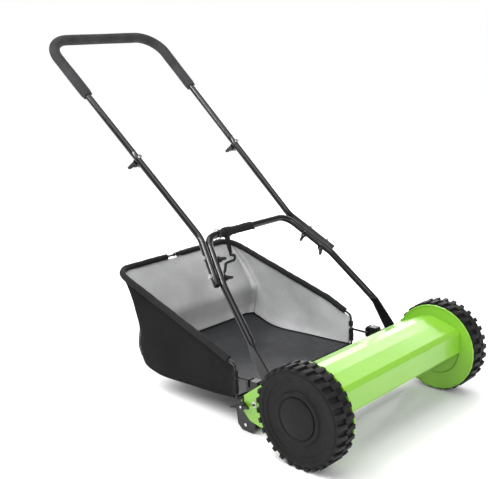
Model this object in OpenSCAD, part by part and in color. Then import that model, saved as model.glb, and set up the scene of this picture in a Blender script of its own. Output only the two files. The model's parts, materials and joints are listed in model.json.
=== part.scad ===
// Push reel mower with a folding-up tube handle and a hung grass catcher.
// +Z is up, the mower drives towards -Y and X runs along the reel axis.
// "left" is the operator's left hand, +X. The origin is on the floor, at the
// middle of the whole machine's length and width.

/* [Overall] */
// Width over the outer faces of the wheels
overall_w = 602; // [590:1:620]
// Height of the handle bar's centre above the floor
handle_h = 908; // [880:1:930]
// Distance from the wheel axle back to the handle bar's centre
handle_reach = 972; // [950:1:1000]

/* [Wheels] */
// Diameter over the tread lugs
wheel_d = 230; // [228:1:236]
// Width of a wheel
wheel_w = 55; // [54:1:58]
// Lugs in each of the two tread rows
lugs = 30; // [24:1:32]
// Depth of a tread lug
lug_h = 6.5; // [4:0.5:7]

/* [Drive] */
// Gear module of the wheel ring and the reel pinion
gear_module = 2.5; // [2.5:0.1:2.6]
// Teeth in the ring moulded into each wheel
ring_teeth = 46; // [46:1:47]
// Teeth on each reel pinion
pinion_teeth = 11; // [11:1:12]

/* [Reel] */
// Radius swept by the blade edges
reel_r = 53; // [50:0.5:53.5]
// How far the reel axis lies below the wheel axle
reel_drop = 17; // [15:0.5:19]
// Number of helical blades
blades = 5; // [3:1:6]
// Angle a blade winds through from end to end
blade_twist = 84; // [60:1:100]

/* [Chassis] */
// Radius of the side plates' round part
plate_r = 110; // [106:1:110]
// Thickness of the side plates
plate_t = 2; // [1.5:0.5:2]
// Thickness of the deck cover's sheet
deck_t = 1.5; // [1:0.5:2]
// Radius of the rear roller
roller_r = 18; // [15:1:19]

/* [Handle] */
// Outside diameter of the handle tubes
tube_d = 18; // [16:1:19]
// Wall of the handle tubes
tube_wall = 1.4; // [1:0.1:1.5]
// Outside diameter of the foam grip
grip_d = 30; // [27:1:33]
// Bend radius of the grip's corners
grip_bend = 70; // [60:1:90]

/* [Catcher] */
// Half width of the catcher's front, to the centre of its wire frame
catcher_half = 226; // [220:1:228]
// Half width of the catcher's rear bar
rear_half = 215; // [205:1:222]
// Diameter of the catcher's wire
wire_d = 6; // [5:0.5:7]
// Outside diameter of the cloth sleeve round the rim wire
sleeve_d = 18; // [14:0.5:20]
// Thickness of the cloth panels
cloth_t = 1.5; // [1:0.5:2]

/* [Hidden] */

$fn = 64;
LEFT = 1;
RIGHT = -1;
// Gap that keeps solids of different bodies apart, and a running fit's radial clearance
gap = 0.3;
run = 0.06;
// Length added to cutters so that they break through
over = 5;

// Places in the side view are [y, z], with y measured back from the wheel axle
axle = [0, wheel_d / 2];
mid_y = (handle_reach + grip_d / 2 - wheel_d / 2) / 2;
centre_gap = gear_module * (ring_teeth - pinion_teeth) / 2;
reel = [sqrt(centre_gap * centre_gap - reel_drop * reel_drop), axle[1] - reel_drop];
reel_angle = atan2(reel[1] - axle[1], reel[0] - axle[0]);
pivot = [122, 128];
strap_top = [178, 205];
catcher_pin = [190, 118];
bracket_pivot = [172, 80];
bracket_lock = [207, 67];
roller = [205, roller_r];
knife_pivot = [99, 62];
tie_rod = [-64, 158];
deck_screw_spots = [[33, 184], [-52, 171]];

// Places along X
wheel_in = overall_w / 2 - wheel_w;
plate_out = wheel_in - 1.5;
plate_in = plate_out - plate_t;
emboss = 2.5;
emboss_r = 66;
blade_half = 229;

// Radii and depths that several parts share
axle_r = 8;
bush_r = 9.5;
shaft_r = 6;
bearing_r = 16;
ring_pitch = gear_module * ring_teeth / 2;
pinion_pitch = gear_module * pinion_teeth / 2;
ring_rim = ring_pitch + 8.5;
rim_r = wheel_d / 2 - lug_h - 2.5;
web_u = wheel_w - 11;
pinion_x = wheel_in + 3.5;
pinion_w = 14;
wing_bolt_r = 3;
pin_r = 4;
blade_t = 2.5;
spider_r = reel_r - 12.8;

// Handle, as [x, y, z] on the left side
corner_top = [195, handle_reach, handle_h];
bend_low = [167, 412, 424];
joint_top = bend_low + (corner_top - bend_low) * 0.4055;
upper_end = [219, 306, 334];
tube_gap = 1.1 * tube_d;
bar_corner = bend_low + (upper_end - bend_low) * 0.02 - [tube_gap, 0, 0];
lower_bend = upper_end + (upper_end - bend_low) * 0.08 - [tube_gap, 0, 0];
lower_end = [231, 190, 222];
bar = [bar_corner[1], bar_corner[2]];
wrap_ends = [-108, 12];
wrap_t = 2.5;
hanger_x = -78;
hook_x = -67;
strap_x = plate_in - 2.2;
strap_t = 4;
bolt_places = [0.45, 0.83];

// Catcher, as [y, z]
rod_front = 249;
rod_low = 62;
rim_front = [250, 152];
rim_mid = [335, 187];
rim_rear = [698, 303];
rim_wide = catcher_half + 3;
rim_bends = [70, 45];
clip_x = 6;

// ---------- points and places ----------
function unit(v) = v / norm(v);
function reverse(list) = [for (i = [len(list) - 1:-1:0]) list[i]];
function at(x, p) = [x, p[0], p[1]];
function on_circle(c, r, a) = c + r * [cos(a), sin(a)];
// Start, centre and end of the arc of radius r that rounds corner b between a and c
function fillet(a, b, c, r) = let(u = unit(a - b), v = unit(c - b), half = acos(u * v) / 2)
    [b + u * r / tan(half), b + unit(u + v) * r / sin(half), b + v * r / tan(half)];
function sweep_arc(f, n) = let(p = f[0] - f[1], q = f[2] - f[1], a = acos(unit(p) * unit(q)))
    [for (i = [0:n]) f[1] + (p * sin(a * (1 - i / n)) + q * sin(a * i / n)) / sin(a)];
// An open line with its inner corners rounded
function rounded(p, r, n = 5) = [for (i = [0:len(p) - 1])
    each (i == 0 || i == len(p) - 1) ? [p[i]] : sweep_arc(fillet(p[i - 1], p[i], p[i + 1], r), n)];
// A closed outline with all its corners rounded
function rounded_loop(p, r, n = 5) = [for (i = [0:len(p) - 1])
    each sweep_arc(fillet(p[(i + len(p) - 1) % len(p)], p[i], p[(i + 1) % len(p)], r), n)];
function left_of(a, b) = let(d = unit(b - a)) [-d[1], d[0]];
// The line moved sideways by t, and the closed outline of a sheet of that thickness
function beside(p, t) = [for (i = [0:len(p) - 1]) let(
    n1 = left_of(p[max(i - 1, 0)], p[max(i, 1)]),
    n2 = left_of(p[min(i, len(p) - 2)], p[min(i + 1, len(p) - 1)]),
    m = unit(n1 + n2)) p[i] + m * t / (m * n1)];
function sheet(p, t) = concat(p, reverse(beside(p, t)));
// Tooth outline: half angles at the tip and at the root
function gear_outline(n, tip, root, half_tip, half_root, turn) = [for (i = [0:n - 1])
    each [for (k = [[root, -half_root], [tip, -half_tip], [tip, half_tip], [root, half_root]])
        let(a = turn + i * 360 / n + k[1]) [k[0] * cos(a), k[0] * sin(a)]]];

module place() { translate([0, -mid_y, 0]) children(); }
module on_side(s) { mirror([s < 0 ? 1 : 0, 0, 0]) children(); }
module both_sides() {
    children();
    mirror([1, 0, 0]) children();
}
// A [y, z] outline extruded from x0 to x1
module slab(x0, x1) {
    translate([x0, 0, 0]) rotate([90, 0, 90]) linear_extrude(x1 - x0) children();
}
module rod_x(x0, x1, p, r) {
    translate([x0, p[0], p[1]]) rotate([0, 90, 0]) cylinder(h = x1 - x0, r = r);
}
module hex_x(x0, x1, p, r) {
    translate([x0, p[0], p[1]]) rotate([0, 90, 0]) cylinder(h = x1 - x0, r = r, $fn = 6);
}
module block(x0, x1, y0, y1, z0, z1) {
    translate([x0, y0, z0]) cube([x1 - x0, y1 - y0, z1 - z0]);
}
// An [r, x] outline turned round the X direction through p
module turned(p, outline) {
    translate([0, p[0], p[1]]) rotate([0, 90, 0]) rotate_extrude() polygon(outline);
}
// Local Z along dir, local X as near as it can be to the machine's X
module facing(p, dir) {
    z = unit(dir);
    y = unit(cross(z, [1, 0, 0]));
    x = cross(y, z);
    multmatrix([[x[0], y[0], z[0], p[0]], [x[1], y[1], z[1], p[1]], [x[2], y[2], z[2], p[2]],
        [0, 0, 0, 1]]) children();
}
module straight(a, b, d) {
    z = unit(b - a);
    x = unit(cross(abs(z[0]) < 0.8 ? [1, 0, 0] : [0, 1, 0], z));
    y = cross(z, x);
    multmatrix([[x[0], y[0], z[0], a[0]], [x[1], y[1], z[1], a[1]], [x[2], y[2], z[2], a[2]],
        [0, 0, 0, 1]]) cylinder(h = norm(b - a), d = d);
}
// Points of a path whose inner corner i is rounded to the radius r[i - 1]
function route(p, r, n = 5) = [for (i = [0:len(p) - 1]) each (i == 0 || i == len(p) - 1)
    ? [p[i]] : sweep_arc(fillet(p[i - 1], p[i], p[i + 1], r[i - 1]), n)];
function heading(p, i) = unit((i > 0 ? unit(p[i] - p[i - 1]) : [0, 0, 0])
    + (i < len(p) - 1 ? unit(p[i + 1] - p[i]) : [0, 0, 0]));
function carried(x, t) = unit(x - (x * t) * t);
// Two directions across the path at each point, carried along without twist
function frames(p) = [for (i = 0, t = heading(p, 0),
    x = carried(abs(t[0]) < 0.8 ? [1, 0, 0] : [0, 1, 0], t);
    i < len(p);
    i = i + 1, t = heading(p, min(i, len(p) - 1)), x = carried(x, t)) [x, cross(t, x)]];
function rings(p, f, d, n) = [for (i = [0:len(p) - 1], k = [0:n - 1])
    p[i] + d / 2 * (cos(360 * k / n) * f[i][0] + sin(360 * k / n) * f[i][1])];

// A round bar, or a tube where bore is over 0, swept along a path of points
module swept(p, d, bore = 0, n = 16) {
    f = frames(p);
    last = len(p) - 1;
    inner = n * len(p);
    skin = [for (i = [0:last - 1], k = [0:n - 1]) let(a = i * n + k, b = i * n + (k + 1) % n)
        each [[a, a + n, b + n], [a, b + n, b]]];
    wall = [for (t = skin) [t[0] + inner, t[2] + inner, t[1] + inner]];
    rims = [for (k = [0:n - 1], e = [0, last * n]) let(a = e + k, b = e + (k + 1) % n)
        each e == 0 ? [[a, b, b + inner], [a, b + inner, a + inner]]
            : [[a, b + inner, b], [a, a + inner, b + inner]]];
    caps = [[for (k = [0:n - 1]) k], [for (k = [n - 1:-1:0]) last * n + k]];
    if (bore > 0)
        polyhedron(concat(rings(p, f, d, n), rings(p, f, bore, n)), concat(skin, wall, rims));
    else
        polyhedron(rings(p, f, d, n), concat(skin, caps));
}

// ---------- chassis ----------
// Top edge, rear edge and lower edge of the side plate's rear ear
ear = [[60, 150], [105, 157], [141, 141], [161, 126], [206, 93], [216, 74], [208, 52],
    [190, 34], [157, 27], [118, 38], [70, 50]];

module lock_slot(r) {
    reach = norm(bracket_lock - bracket_pivot);
    rest = atan2(bracket_lock[1] - bracket_pivot[1], bracket_lock[0] - bracket_pivot[0]);
    for (a = [-10:5:30])
        rod_x(plate_in - over, plate_out + over, on_circle(bracket_pivot, reach, rest + a), r);
}

module side_plate() {
    difference() {
        union() {
            turned(axle, [[axle_r + 0.1, plate_in + emboss], [emboss_r, plate_in + emboss],
                [emboss_r + 4, plate_in], [plate_r - 4, plate_in], [plate_r - 3, plate_in - 1.5],
                [plate_r - 0.8, plate_in - 1.5], [plate_r, plate_in - 0.7], [plate_r, plate_out],
                [emboss_r + 5, plate_out], [emboss_r + 1, plate_out + emboss],
                [axle_r + 0.1, plate_out + emboss]]);
            difference() {
                slab(plate_in, plate_out) polygon(rounded_loop(ear, 7));
                rod_x(plate_in - over, plate_out + over, axle, plate_r - 2);
            }
        }
        rod_x(plate_in - over, plate_out + over, reel, bearing_r + 0.05);
        rod_x(plate_in - over, plate_out + over, pivot, pin_r + 0.1);
        rod_x(plate_in - over, plate_out + over, knife_pivot, pin_r + run);
        rod_x(plate_in - over, plate_out + over, bracket_pivot, pin_r + 0.1);
        rod_x(plate_in - over, plate_out + over, tie_rod, 3.1);
        lock_slot(wing_bolt_r + 0.5);
        for (p = deck_screw_spots) rod_x(plate_in - over, plate_out + over, p, 2.1);
        for (a = [0, 180])
            rod_x(plate_in - over, plate_out + over, on_circle(reel, 20, reel_angle + 90 + a), 2.1);
    }
}

module side_plate_left() { place() color("limegreen") on_side(LEFT) side_plate(); }
module side_plate_right() { place() color("limegreen") on_side(RIGHT) side_plate(); }

deck_line = [[99, 162], [38, 192], [9, 197], [-23, 190], [-63, 177], [-72, 168], [-72, 117]];

module deck_cover() {
    reach = plate_in - 0.2;
    tab_low = 150;
    place() color("yellowgreen") {
        slab(-reach, reach) polygon(sheet(rounded(deck_line, 9), deck_t));
        both_sides() difference() {
            intersection() {
                block(reach - deck_t, reach, -58, 42, tab_low, 200);
                slab(reach - deck_t, reach)
                    polygon(concat([[99, 100]], deck_line, [[-60, 100]]));
            }
            for (p = deck_screw_spots) rod_x(reach - over, reach + over, p, 2.1);
            rod_x(reach - over, reach + over, reel, reel_r + 6);
        }
    }
}

module chassis_screws() {
    place() color("silver") both_sides() {
        for (p = deck_screw_spots) {
            rod_x(plate_in - 6, plate_out + 0.1, p, 2);
            rod_x(plate_out, plate_out + 2.2, p, 4.5);
        }
        for (a = [0, 180]) {
            p = on_circle(reel, 20, reel_angle + 90 + a);
            rod_x(plate_in - 1.6, plate_out + emboss, p, 2);
            rod_x(plate_in - 4, plate_in - 1.6, p, 3.6);
        }
        rod_x(plate_in - 8, plate_out + 0.1, tie_rod, 3);
        rod_x(plate_out, plate_out + 4, tie_rod, 6);
    }
}

module front_tie_rod() {
    place() color("dimgray") difference() {
        rod_x(-plate_in, plate_in, tie_rod, 5);
        both_sides() rod_x(plate_in - 20, plate_in + 1, tie_rod, 3.05);
    }
}

module axle_pin() {
    turned(axle, [[0, plate_in - 1.5], [14, plate_in - 1.5], [14, plate_in + emboss],
        [axle_r, plate_in + emboss], [axle_r, wheel_in + 47], [6.8, wheel_in + 47],
        [6.8, wheel_in + 48.6], [axle_r, wheel_in + 48.6], [axle_r - 1, wheel_in + 49.6],
        [0, wheel_in + 49.6]]);
}
module axle_left() { place() color("silver") on_side(LEFT) axle_pin(); }
module axle_right() { place() color("silver") on_side(RIGHT) axle_pin(); }

module axle_circlips() {
    place() color("gray") both_sides() difference() {
        rod_x(wheel_in + 47.2, wheel_in + 48.4, axle, 12);
        rod_x(wheel_in + 40, wheel_in + 50, axle, 6.9);
        block(wheel_in + 40, wheel_in + 50, -2.5, 2.5, axle[1] - 14, axle[1]);
    }
}

module reel_bearing() {
    turned(reel, [[shaft_r + run, plate_in - 5], [13, plate_in - 5], [13, plate_in - 1.6],
        [25, plate_in - 1.6], [25, plate_in + emboss], [bearing_r, plate_in + emboss],
        [bearing_r, plate_out + 4], [shaft_r + run, plate_out + 4]]);
}
module bearing_with_holes() {
    difference() {
        intersection() {
            reel_bearing();
            rod_x(plate_in - 10, plate_out + 10, axle, emboss_r - 0.5);
        }
        for (a = [0, 180])
            rod_x(plate_in - over, plate_out + over, on_circle(reel, 20, reel_angle + 90 + a), 2.1);
        rod_x(plate_in - over, plate_in + emboss + over, axle, 14.2);
    }
}
module reel_bearing_left() { place() color("gray") on_side(LEFT) bearing_with_holes(); }
module reel_bearing_right() { place() color("gray") on_side(RIGHT) bearing_with_holes(); }

module handle_pivot_bolts() {
    inner = strap_x - strap_t;
    place() color("silver") both_sides() {
        rod_x(inner - 7, plate_out + 0.1, pivot, pin_r);
        hex_x(plate_out, plate_out + 4, pivot, 7.5);
        hex_x(inner - 6.4, inner - gap, pivot, 7.5);
        rod_x(strap_x + gap, plate_in, pivot, 9);
    }
}

function tail_centre() = pivot - 30 * unit(strap_top - pivot);
module handle_stop_pins() {
    d = unit(strap_top - pivot);
    spot = tail_centre() - (13 + pin_r + gap) * [d[1], -d[0]];
    place() color("silver") both_sides() rod_x(strap_x - strap_t - 2, plate_in, spot, pin_r);
}

module hook_block() {
    difference() {
        slab(222, plate_in - 0.1) polygon(rounded_loop([[163, 99], [190, 99], [200, 106],
            [200, 126], [194, 133], [166, 133], [160, 118]], 3));
        rod_x(222 - over, plate_in + over, catcher_pin, wire_d / 2 + gap);
        block(222 - over, plate_in + over, catcher_pin[0] - wire_d / 2 - gap,
            catcher_pin[0] + wire_d / 2 + gap, catcher_pin[1], 140);
    }
}
module catcher_hook_left() { place() color("#202020") on_side(LEFT) hook_block(); }
module catcher_hook_right() { place() color("#202020") on_side(RIGHT) hook_block(); }

module bracket_pivot_bolts() {
    inner = plate_in - 5;
    place() color("silver") both_sides() {
        rod_x(inner - 5, plate_out + 0.1, bracket_pivot, pin_r);
        rod_x(plate_out, plate_out + 3, bracket_pivot, 7);
        hex_x(inner - 5, inner - gap, bracket_pivot, 7.5);
    }
}

// ---------- bed knife ----------
knife_edge = on_circle(reel, reel_r + 0.6, -65);
knife_back = [100, knife_edge[1] - 2.2];

module bed_knife() {
    reach = plate_in - 3.5;
    place() color("lightgray") difference() {
        slab(-reach, reach) polygon([knife_edge, knife_back, knife_back - [0, 3],
            knife_edge + [4, -3.6]]);
        for (x = [-180:90:180]) translate([x, 88, 30]) cylinder(h = 30, r = 2.6);
    }
}

module knife_bar() {
    reach = plate_in - 3.5;
    front = 76;
    drop = (knife_edge[1] - knife_back[1]) / (knife_back[0] - knife_edge[0]);
    low_front = [front, knife_edge[1] - drop * (front - knife_edge[0])];
    place() color("#303030") difference() {
        union() {
            slab(-reach, reach) polygon([low_front, knife_back, knife_back + [1, 0],
                knife_back + [1, 28], knife_back + [-2.5, 28], knife_back + [-2.5, 4],
                low_front + [0, 3.5]]);
            both_sides() {
                slab(reach - 4, reach) polygon([knife_back + [-18, 3], knife_back + [1, 3],
                    [107, 58], [105, 68], [95, 70]]);
                rod_x(reach - 1, plate_out + 0.8, knife_pivot, pin_r);
            }
        }
        for (x = [-180:90:180]) translate([x, 88, 30]) cylinder(h = 30, r = 2.6);
    }
}

module knife_screws() {
    head_z = knife_back[1] + 4.5;
    place() color("silver") for (x = [-180:90:180]) translate([x, 88, 0]) {
        translate([0, 0, knife_back[1] - 5]) cylinder(h = 12, r = 2.5);
        translate([0, 0, head_z]) cylinder(h = 3, r = 4.4);
        translate([0, 0, knife_back[1] - 6.2]) cylinder(h = 3.2, r = 4.4);
    }
}

module knife_adjusters() {
    z = knife_back[1] + 22;
    tip = knife_back[0] + 1 + gap;
    place() color("silver") both_sides() {
        block(223, plate_in, tip + 8, tip + 16, z - 7, z + 7);
        translate([228, tip, z]) rotate([-90, 0, 0]) cylinder(h = 30, r = 3);
        translate([228, tip + 26, z]) rotate([-90, 0, 0]) cylinder(h = 5, r = 5.5, $fn = 6);
    }
}

// ---------- wheels ----------
module wheel() {
    u = wheel_in;
    half_pitch = 180 / ring_teeth;
    turned(axle, [[bush_r, u + 4], [17, u + 4], [17, u + web_u], [ring_rim - 4, u + web_u],
        [ring_rim - 4, u + 3], [ring_rim, u + 3], [ring_rim, u + web_u],
        [rim_r - 4, u + web_u], [rim_r - 4, u + 2], [rim_r, u + 2],
        [rim_r, u + wheel_w - 1.5], [rim_r - 3, u + wheel_w - 0.5],
        [rim_r - 15, u + wheel_w - 0.5], [rim_r - 19, u + wheel_w - 3],
        [60, u + wheel_w - 3.5], [57, u + wheel_w - 2], [49, u + wheel_w - 2],
        [47.5, u + wheel_w - 4.6], [14, u + wheel_w - 4.6], [14, u + 46.5],
        [bush_r, u + 46.5]]);
    slab(u + 3, u + 3 + pinion_w + 1.5) translate(axle) difference() {
        circle(r = ring_rim - 2);
        polygon(gear_outline(ring_teeth, ring_pitch - 2.1, ring_pitch + 3.2, 0.85, 2.1,
            reel_angle + half_pitch));
    }
}
module wheel_left() { place() color("#2b2b2b") on_side(LEFT) wheel(); }
module wheel_right() { place() color("#2b2b2b") on_side(RIGHT) wheel(); }

// One slanted lug, standing on the tyre's base at the top of the wheel
module lug(u0, u1, slant) {
    top = sqrt(pow(wheel_d / 2, 2) - 64);
    half = 7.4;
    translate([wheel_in, 0, axle[1] + rim_r + 1]) linear_extrude(top - rim_r - 1)
        polygon([[u0, -half - slant], [u1, -half + slant], [u1, half + slant - 2.5],
            [u0, half - slant - 2.5]]);
}
module tyre() {
    pitch = 360 / lugs;
    u = wheel_in;
    turned(axle, [[rim_r, u + 1.5], [rim_r + 2.5, u + 1.5], [rim_r + 2.5, u + wheel_w - 2],
        [rim_r, u + wheel_w - 2]]);
    for (i = [0:lugs - 1]) {
        translate(at(0, axle)) rotate([i * pitch, 0, 0]) translate(-at(0, axle))
            lug(wheel_w / 2 - 2, wheel_w, 1.6);
        translate(at(0, axle)) rotate([(i + 0.5) * pitch, 0, 0]) translate(-at(0, axle))
            lug(0, wheel_w / 2 + 2, -1.6);
    }
}
module tyre_left() { place() color("#333335") on_side(LEFT) tyre(); }
module tyre_right() { place() color("#333335") on_side(RIGHT) tyre(); }

module wheel_bush() {
    u = wheel_in;
    turned(axle, [[axle_r + run, u + 2.4], [14, u + 2.4], [14, u + 4], [bush_r, u + 4],
        [bush_r, u + 46.5], [axle_r + run, u + 46.5]]);
}
module wheel_bush_left() { place() color("ivory") on_side(LEFT) wheel_bush(); }
module wheel_bush_right() { place() color("ivory") on_side(RIGHT) wheel_bush(); }

module hub_cap() {
    u = wheel_in + wheel_w - 4.6;
    turned(axle, [[0, u + 0.4], [14, u + 0.4], [14, u], [46, u], [46, u + 1.6], [43, u + 2.6],
        [34, u + 3.4], [20, u + 4.1], [0, u + 4.5]]);
}
module hub_cap_left() { place() color("#2b2b2b") on_side(LEFT) hub_cap(); }
module hub_cap_right() { place() color("#2b2b2b") on_side(RIGHT) hub_cap(); }

// ---------- reel ----------
module reel_shaft() {
    end = pinion_x + pinion_w + 5;
    place() color("silver") difference() {
        rod_x(-end, end, reel, shaft_r);
        both_sides() {
            block(pinion_x + 2, pinion_x + pinion_w - 2, reel[0] - 2.5, reel[0] + 2.5,
                reel[1] - 10, reel[1] + 10);
            difference() {
                rod_x(pinion_x + pinion_w + 0.6, pinion_x + pinion_w + 2, reel, shaft_r + 1);
                rod_x(pinion_x, end, reel, shaft_r - 1);
            }
        }
    }
}

module reel_spiders() {
    place() color("dimgray") for (i = [0:4]) {
        x = -blade_half + 13 + i * (2 * blade_half - 26) / 4;
        turn = blade_twist * (x + blade_half) / (2 * blade_half);
        difference() {
            union() {
                rod_x(x - 7, x + 7, reel, 13);
                for (k = [0:blades - 1]) translate(at(x - 1.5, reel))
                    rotate([turn + k * 360 / blades, 0, 0]) translate([0, 8, -6])
                        cube([3, spider_r - 8.6, 12]);
            }
            rod_x(x - 10, x + 10, reel, shaft_r + 0.05);
        }
    }
}

module reel_blades() {
    place() color("silver") translate(at(-blade_half, reel)) rotate([90, 0, 90])
        for (k = [0:blades - 1]) rotate([0, 0, k * 360 / blades])
            linear_extrude(2 * blade_half, twist = -blade_twist, slices = 28, segments = 4)
                polygon([[spider_r, -blade_t / 2], [reel_r - 0.1, -blade_t / 2],
                    [reel_r - 0.1, blade_t / 2], [spider_r, blade_t / 2]]);
}

module pinion() {
    difference() {
        slab(pinion_x, pinion_x + pinion_w) translate(reel)
            polygon(gear_outline(pinion_teeth, pinion_pitch + 2.1, pinion_pitch - 2.9, 3.2, 8.6,
                reel_angle));
        rod_x(pinion_x - over, pinion_x + pinion_w + over, reel, shaft_r + 0.05);
        block(pinion_x + 1.5, pinion_x + pinion_w - 1.5, reel[0] - 2.7, reel[0] + 2.7,
            reel[1] - 8.2, reel[1] + 8.2);
    }
}
module pinion_left() { place() color("gray") on_side(LEFT) pinion(); }
module pinion_right() { place() color("gray") on_side(RIGHT) pinion(); }

// The sliding key that drives one way and slips the other
module drive_keys() {
    place() color("goldenrod") both_sides()
        block(pinion_x + 2.2, pinion_x + pinion_w - 2.2, reel[0] - 2.3, reel[0] + 2.3,
            reel[1] - 7.6, reel[1] + 7.6);
}

module pinion_circlips() {
    place() color("gray") both_sides() difference() {
        rod_x(pinion_x + pinion_w + 0.7, pinion_x + pinion_w + 1.9, reel, 9);
        rod_x(pinion_x + pinion_w - 2, pinion_x + pinion_w + 4, reel, shaft_r - 0.95);
        block(pinion_x + pinion_w - 2, pinion_x + pinion_w + 4, reel[0] - 2, reel[0] + 2,
            reel[1] - 12, reel[1]);
    }
}

// ---------- rear roller and its height brackets ----------
module height_bracket() {
    x1 = plate_in - 1;
    x0 = x1 - 4 + gap;
    difference() {
        slab(x0, x1) polygon(rounded_loop([[158, 88], [182, 93], [222, 78], [236, 50], [232, 14],
            [221, 3], [188, 1.5], [176, 12], [182, 44], [160, 66]], 6));
        rod_x(x0 - over, x1 + over, bracket_pivot, pin_r + run);
        rod_x(x0 - over, x1 + over, bracket_lock, wing_bolt_r + 0.05);
        rod_x(x0 - over, x1 + over, roller, 4.05);
    }
}
module height_bracket_left() { place() color("#202020") on_side(LEFT) height_bracket(); }
module height_bracket_right() { place() color("#202020") on_side(RIGHT) height_bracket(); }

// A hub with two pointed wings; local Z runs along its bolt
module wing_nut(hub_r, hub_h, span, rise, t) {
    difference() {
        union() {
            cylinder(h = hub_h, r1 = hub_r, r2 = hub_r * 0.8);
            for (s = [-1, 1]) translate([0, t / 2, 0]) rotate([90, 0, 0]) linear_extrude(t)
                polygon([[0, 1], [s * hub_r, 1], [s * span * 0.8, rise * 0.55], [s * span, rise],
                    [s * span * 0.6, rise * 0.95], [s * hub_r * 0.7, hub_h - 0.5], [0, hub_h - 0.5]]);
        }
        translate([0, 0, -1]) cylinder(h = hub_h + 2, r = wing_bolt_r + 0.05);
    }
}

module height_knobs() {
    inner = plate_in - 5 + gap;
    place() color("#202020") both_sides() {
        rod_x(inner - 4, plate_out + 13, bracket_lock, wing_bolt_r);
        hex_x(inner - 4, inner, bracket_lock, 6.5);
        translate(at(plate_out + gap, bracket_lock)) rotate([0, 90, 0]) rotate([0, 0, 20])
            wing_nut(8, 10, 27, 15, 4);
    }
}

module roller_shaft() {
    reach = plate_in + 1.4;
    place() color("silver") {
        rod_x(-reach, reach, roller, 4);
        both_sides() rod_x(plate_in - 6.3, plate_in - 5, roller, 7);
    }
}

module rear_roller() {
    reach = plate_in - 7;
    place() color("#2b2b2b") difference() {
        union() {
            rod_x(-reach, reach, roller, roller_r - 1);
            for (x = [-210:30:210]) rod_x(x - 9, x + 9, roller, roller_r);
        }
        rod_x(-reach - 1, reach + 1, roller, 4 + run);
    }
}

// ---------- handle ----------
function mirror_x(p) = [-p[0], p[1], p[2]];
function across(p) = concat(p, reverse([for (q = p) mirror_x(q)]));

module strap_end() {
    d = unit(strap_top - pivot);
    n = [d[1], -d[0]];
    tail = tail_centre();
    x0 = strap_x - strap_t;
    difference() {
        union() {
            slab(x0, strap_x) polygon([strap_top - 11 * n, strap_top + 11 * n, pivot + 17 * n,
                tail + 13 * n, tail - 13 * n, pivot - 17 * n]);
            rod_x(x0, strap_x, pivot, 17);
            rod_x(x0, strap_x, tail, 13);
        }
        rod_x(x0 - over, strap_x + over, pivot, pin_r + run);
    }
    hull() {
        slab(x0, strap_x) polygon([strap_top - 11 * n, strap_top + 11 * n,
            strap_top + 11 * n - d, strap_top - 11 * n - d]);
        straight(lower_end + 0.05 * unit(lower_end - lower_bend),
            lower_end + unit(lower_end - lower_bend), tube_d, $fn = 32);
    }
}

module lower_tube() {
    path = route(across([lower_end, lower_bend, bar_corner]), [60, 45, 45, 60]);
    place() color("#1c1c1c") {
        difference() {
            swept(path, tube_d, tube_d - 2 * tube_wall, 20);
            both_sides() for (k = bolt_places) bolt_hole(k);
        }
        both_sides() strap_end();
    }
}
bolt_dir = carried([1, 0, 0], unit(upper_end - bend_low));
leg_gap = tube_gap * bolt_dir[0];
function bolt_spot(k) = bend_low + (upper_end - bend_low) * k;
module bolt_hole(k) {
    straight(bolt_spot(k) - 45 * bolt_dir, bolt_spot(k) + 25 * bolt_dir, 2 * wing_bolt_r + 0.1);
}

module upper_tube() {
    down = unit(bend_low - joint_top);
    n = unit(cross(down, [1, 0, 0]));
    p = joint_top + 25 * down;
    difference() {
        swept(route([joint_top, bend_low, upper_end], [70]), tube_d, tube_d - 2 * tube_wall, 20);
        for (k = bolt_places) bolt_hole(k);
        straight(p - 20 * n, p + 20 * n, 2 * wing_bolt_r + 0.1);
    }
}
module upper_tube_left() { place() color("#1c1c1c") on_side(LEFT) upper_tube(); }
module upper_tube_right() { place() color("#1c1c1c") on_side(RIGHT) upper_tube(); }

module top_tube() {
    down = unit(bend_low - joint_top);
    n = unit(cross(down, [1, 0, 0]));
    neck_d = tube_d - 2 * tube_wall - 0.8;
    place() color("#1c1c1c") {
        swept(route(across([joint_top - 0.5 * down, corner_top]), [grip_bend, grip_bend], 8),
            tube_d, tube_d - 2 * tube_wall, 20);
        both_sides() difference() {
            straight(joint_top - 20 * down, joint_top + 50 * down, neck_d);
            straight(joint_top - 30 * down, joint_top + 60 * down, neck_d - 2 * tube_wall);
            p = joint_top + 25 * down;
            straight(p - 20 * n, p + 20 * n, 2 * wing_bolt_r + 0.1);
        }
    }
}

module foam_grip() {
    start = corner_top + (bend_low - corner_top) * 0.302;
    place() color("#3c3c3c")
        swept(route(across([start, corner_top]), [grip_bend, grip_bend], 8), grip_d,
            tube_d + 0.2, 20);
}

module top_bolts() {
    down = unit(bend_low - joint_top);
    n = unit(cross([1, 0, 0], down));
    p = joint_top + 25 * down;
    place() color("silver") both_sides() {
        straight(p - n * (tube_d / 2 + 1), p + n * 30, 2 * wing_bolt_r);
        straight(p - n * (tube_d / 2 + 4), p - n * (tube_d / 2 + 0.4), 11);
    }
}

module top_knobs() {
    down = unit(bend_low - joint_top);
    n = unit(cross([1, 0, 0], down));
    p = joint_top + 25 * down + n * (tube_d / 2 + 1);
    place() color("#202020") both_sides() facing(p, n) wing_nut(7, 13, 19, 19, 5);
}

// How far from a slanted leg's centre a bolt head or nut of that radius bears on it
module lower_bolts() {
    seat = tube_d / 2 + 0.2;
    place() color("silver") both_sides() for (k = bolt_places) {
        p = bolt_spot(k);
        straight(p - (leg_gap + 20) * bolt_dir, p + (seat + 1) * bolt_dir, 2 * wing_bolt_r);
        straight(p + seat * bolt_dir, p + (seat + 4) * bolt_dir, 12);
    }
}

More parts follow.
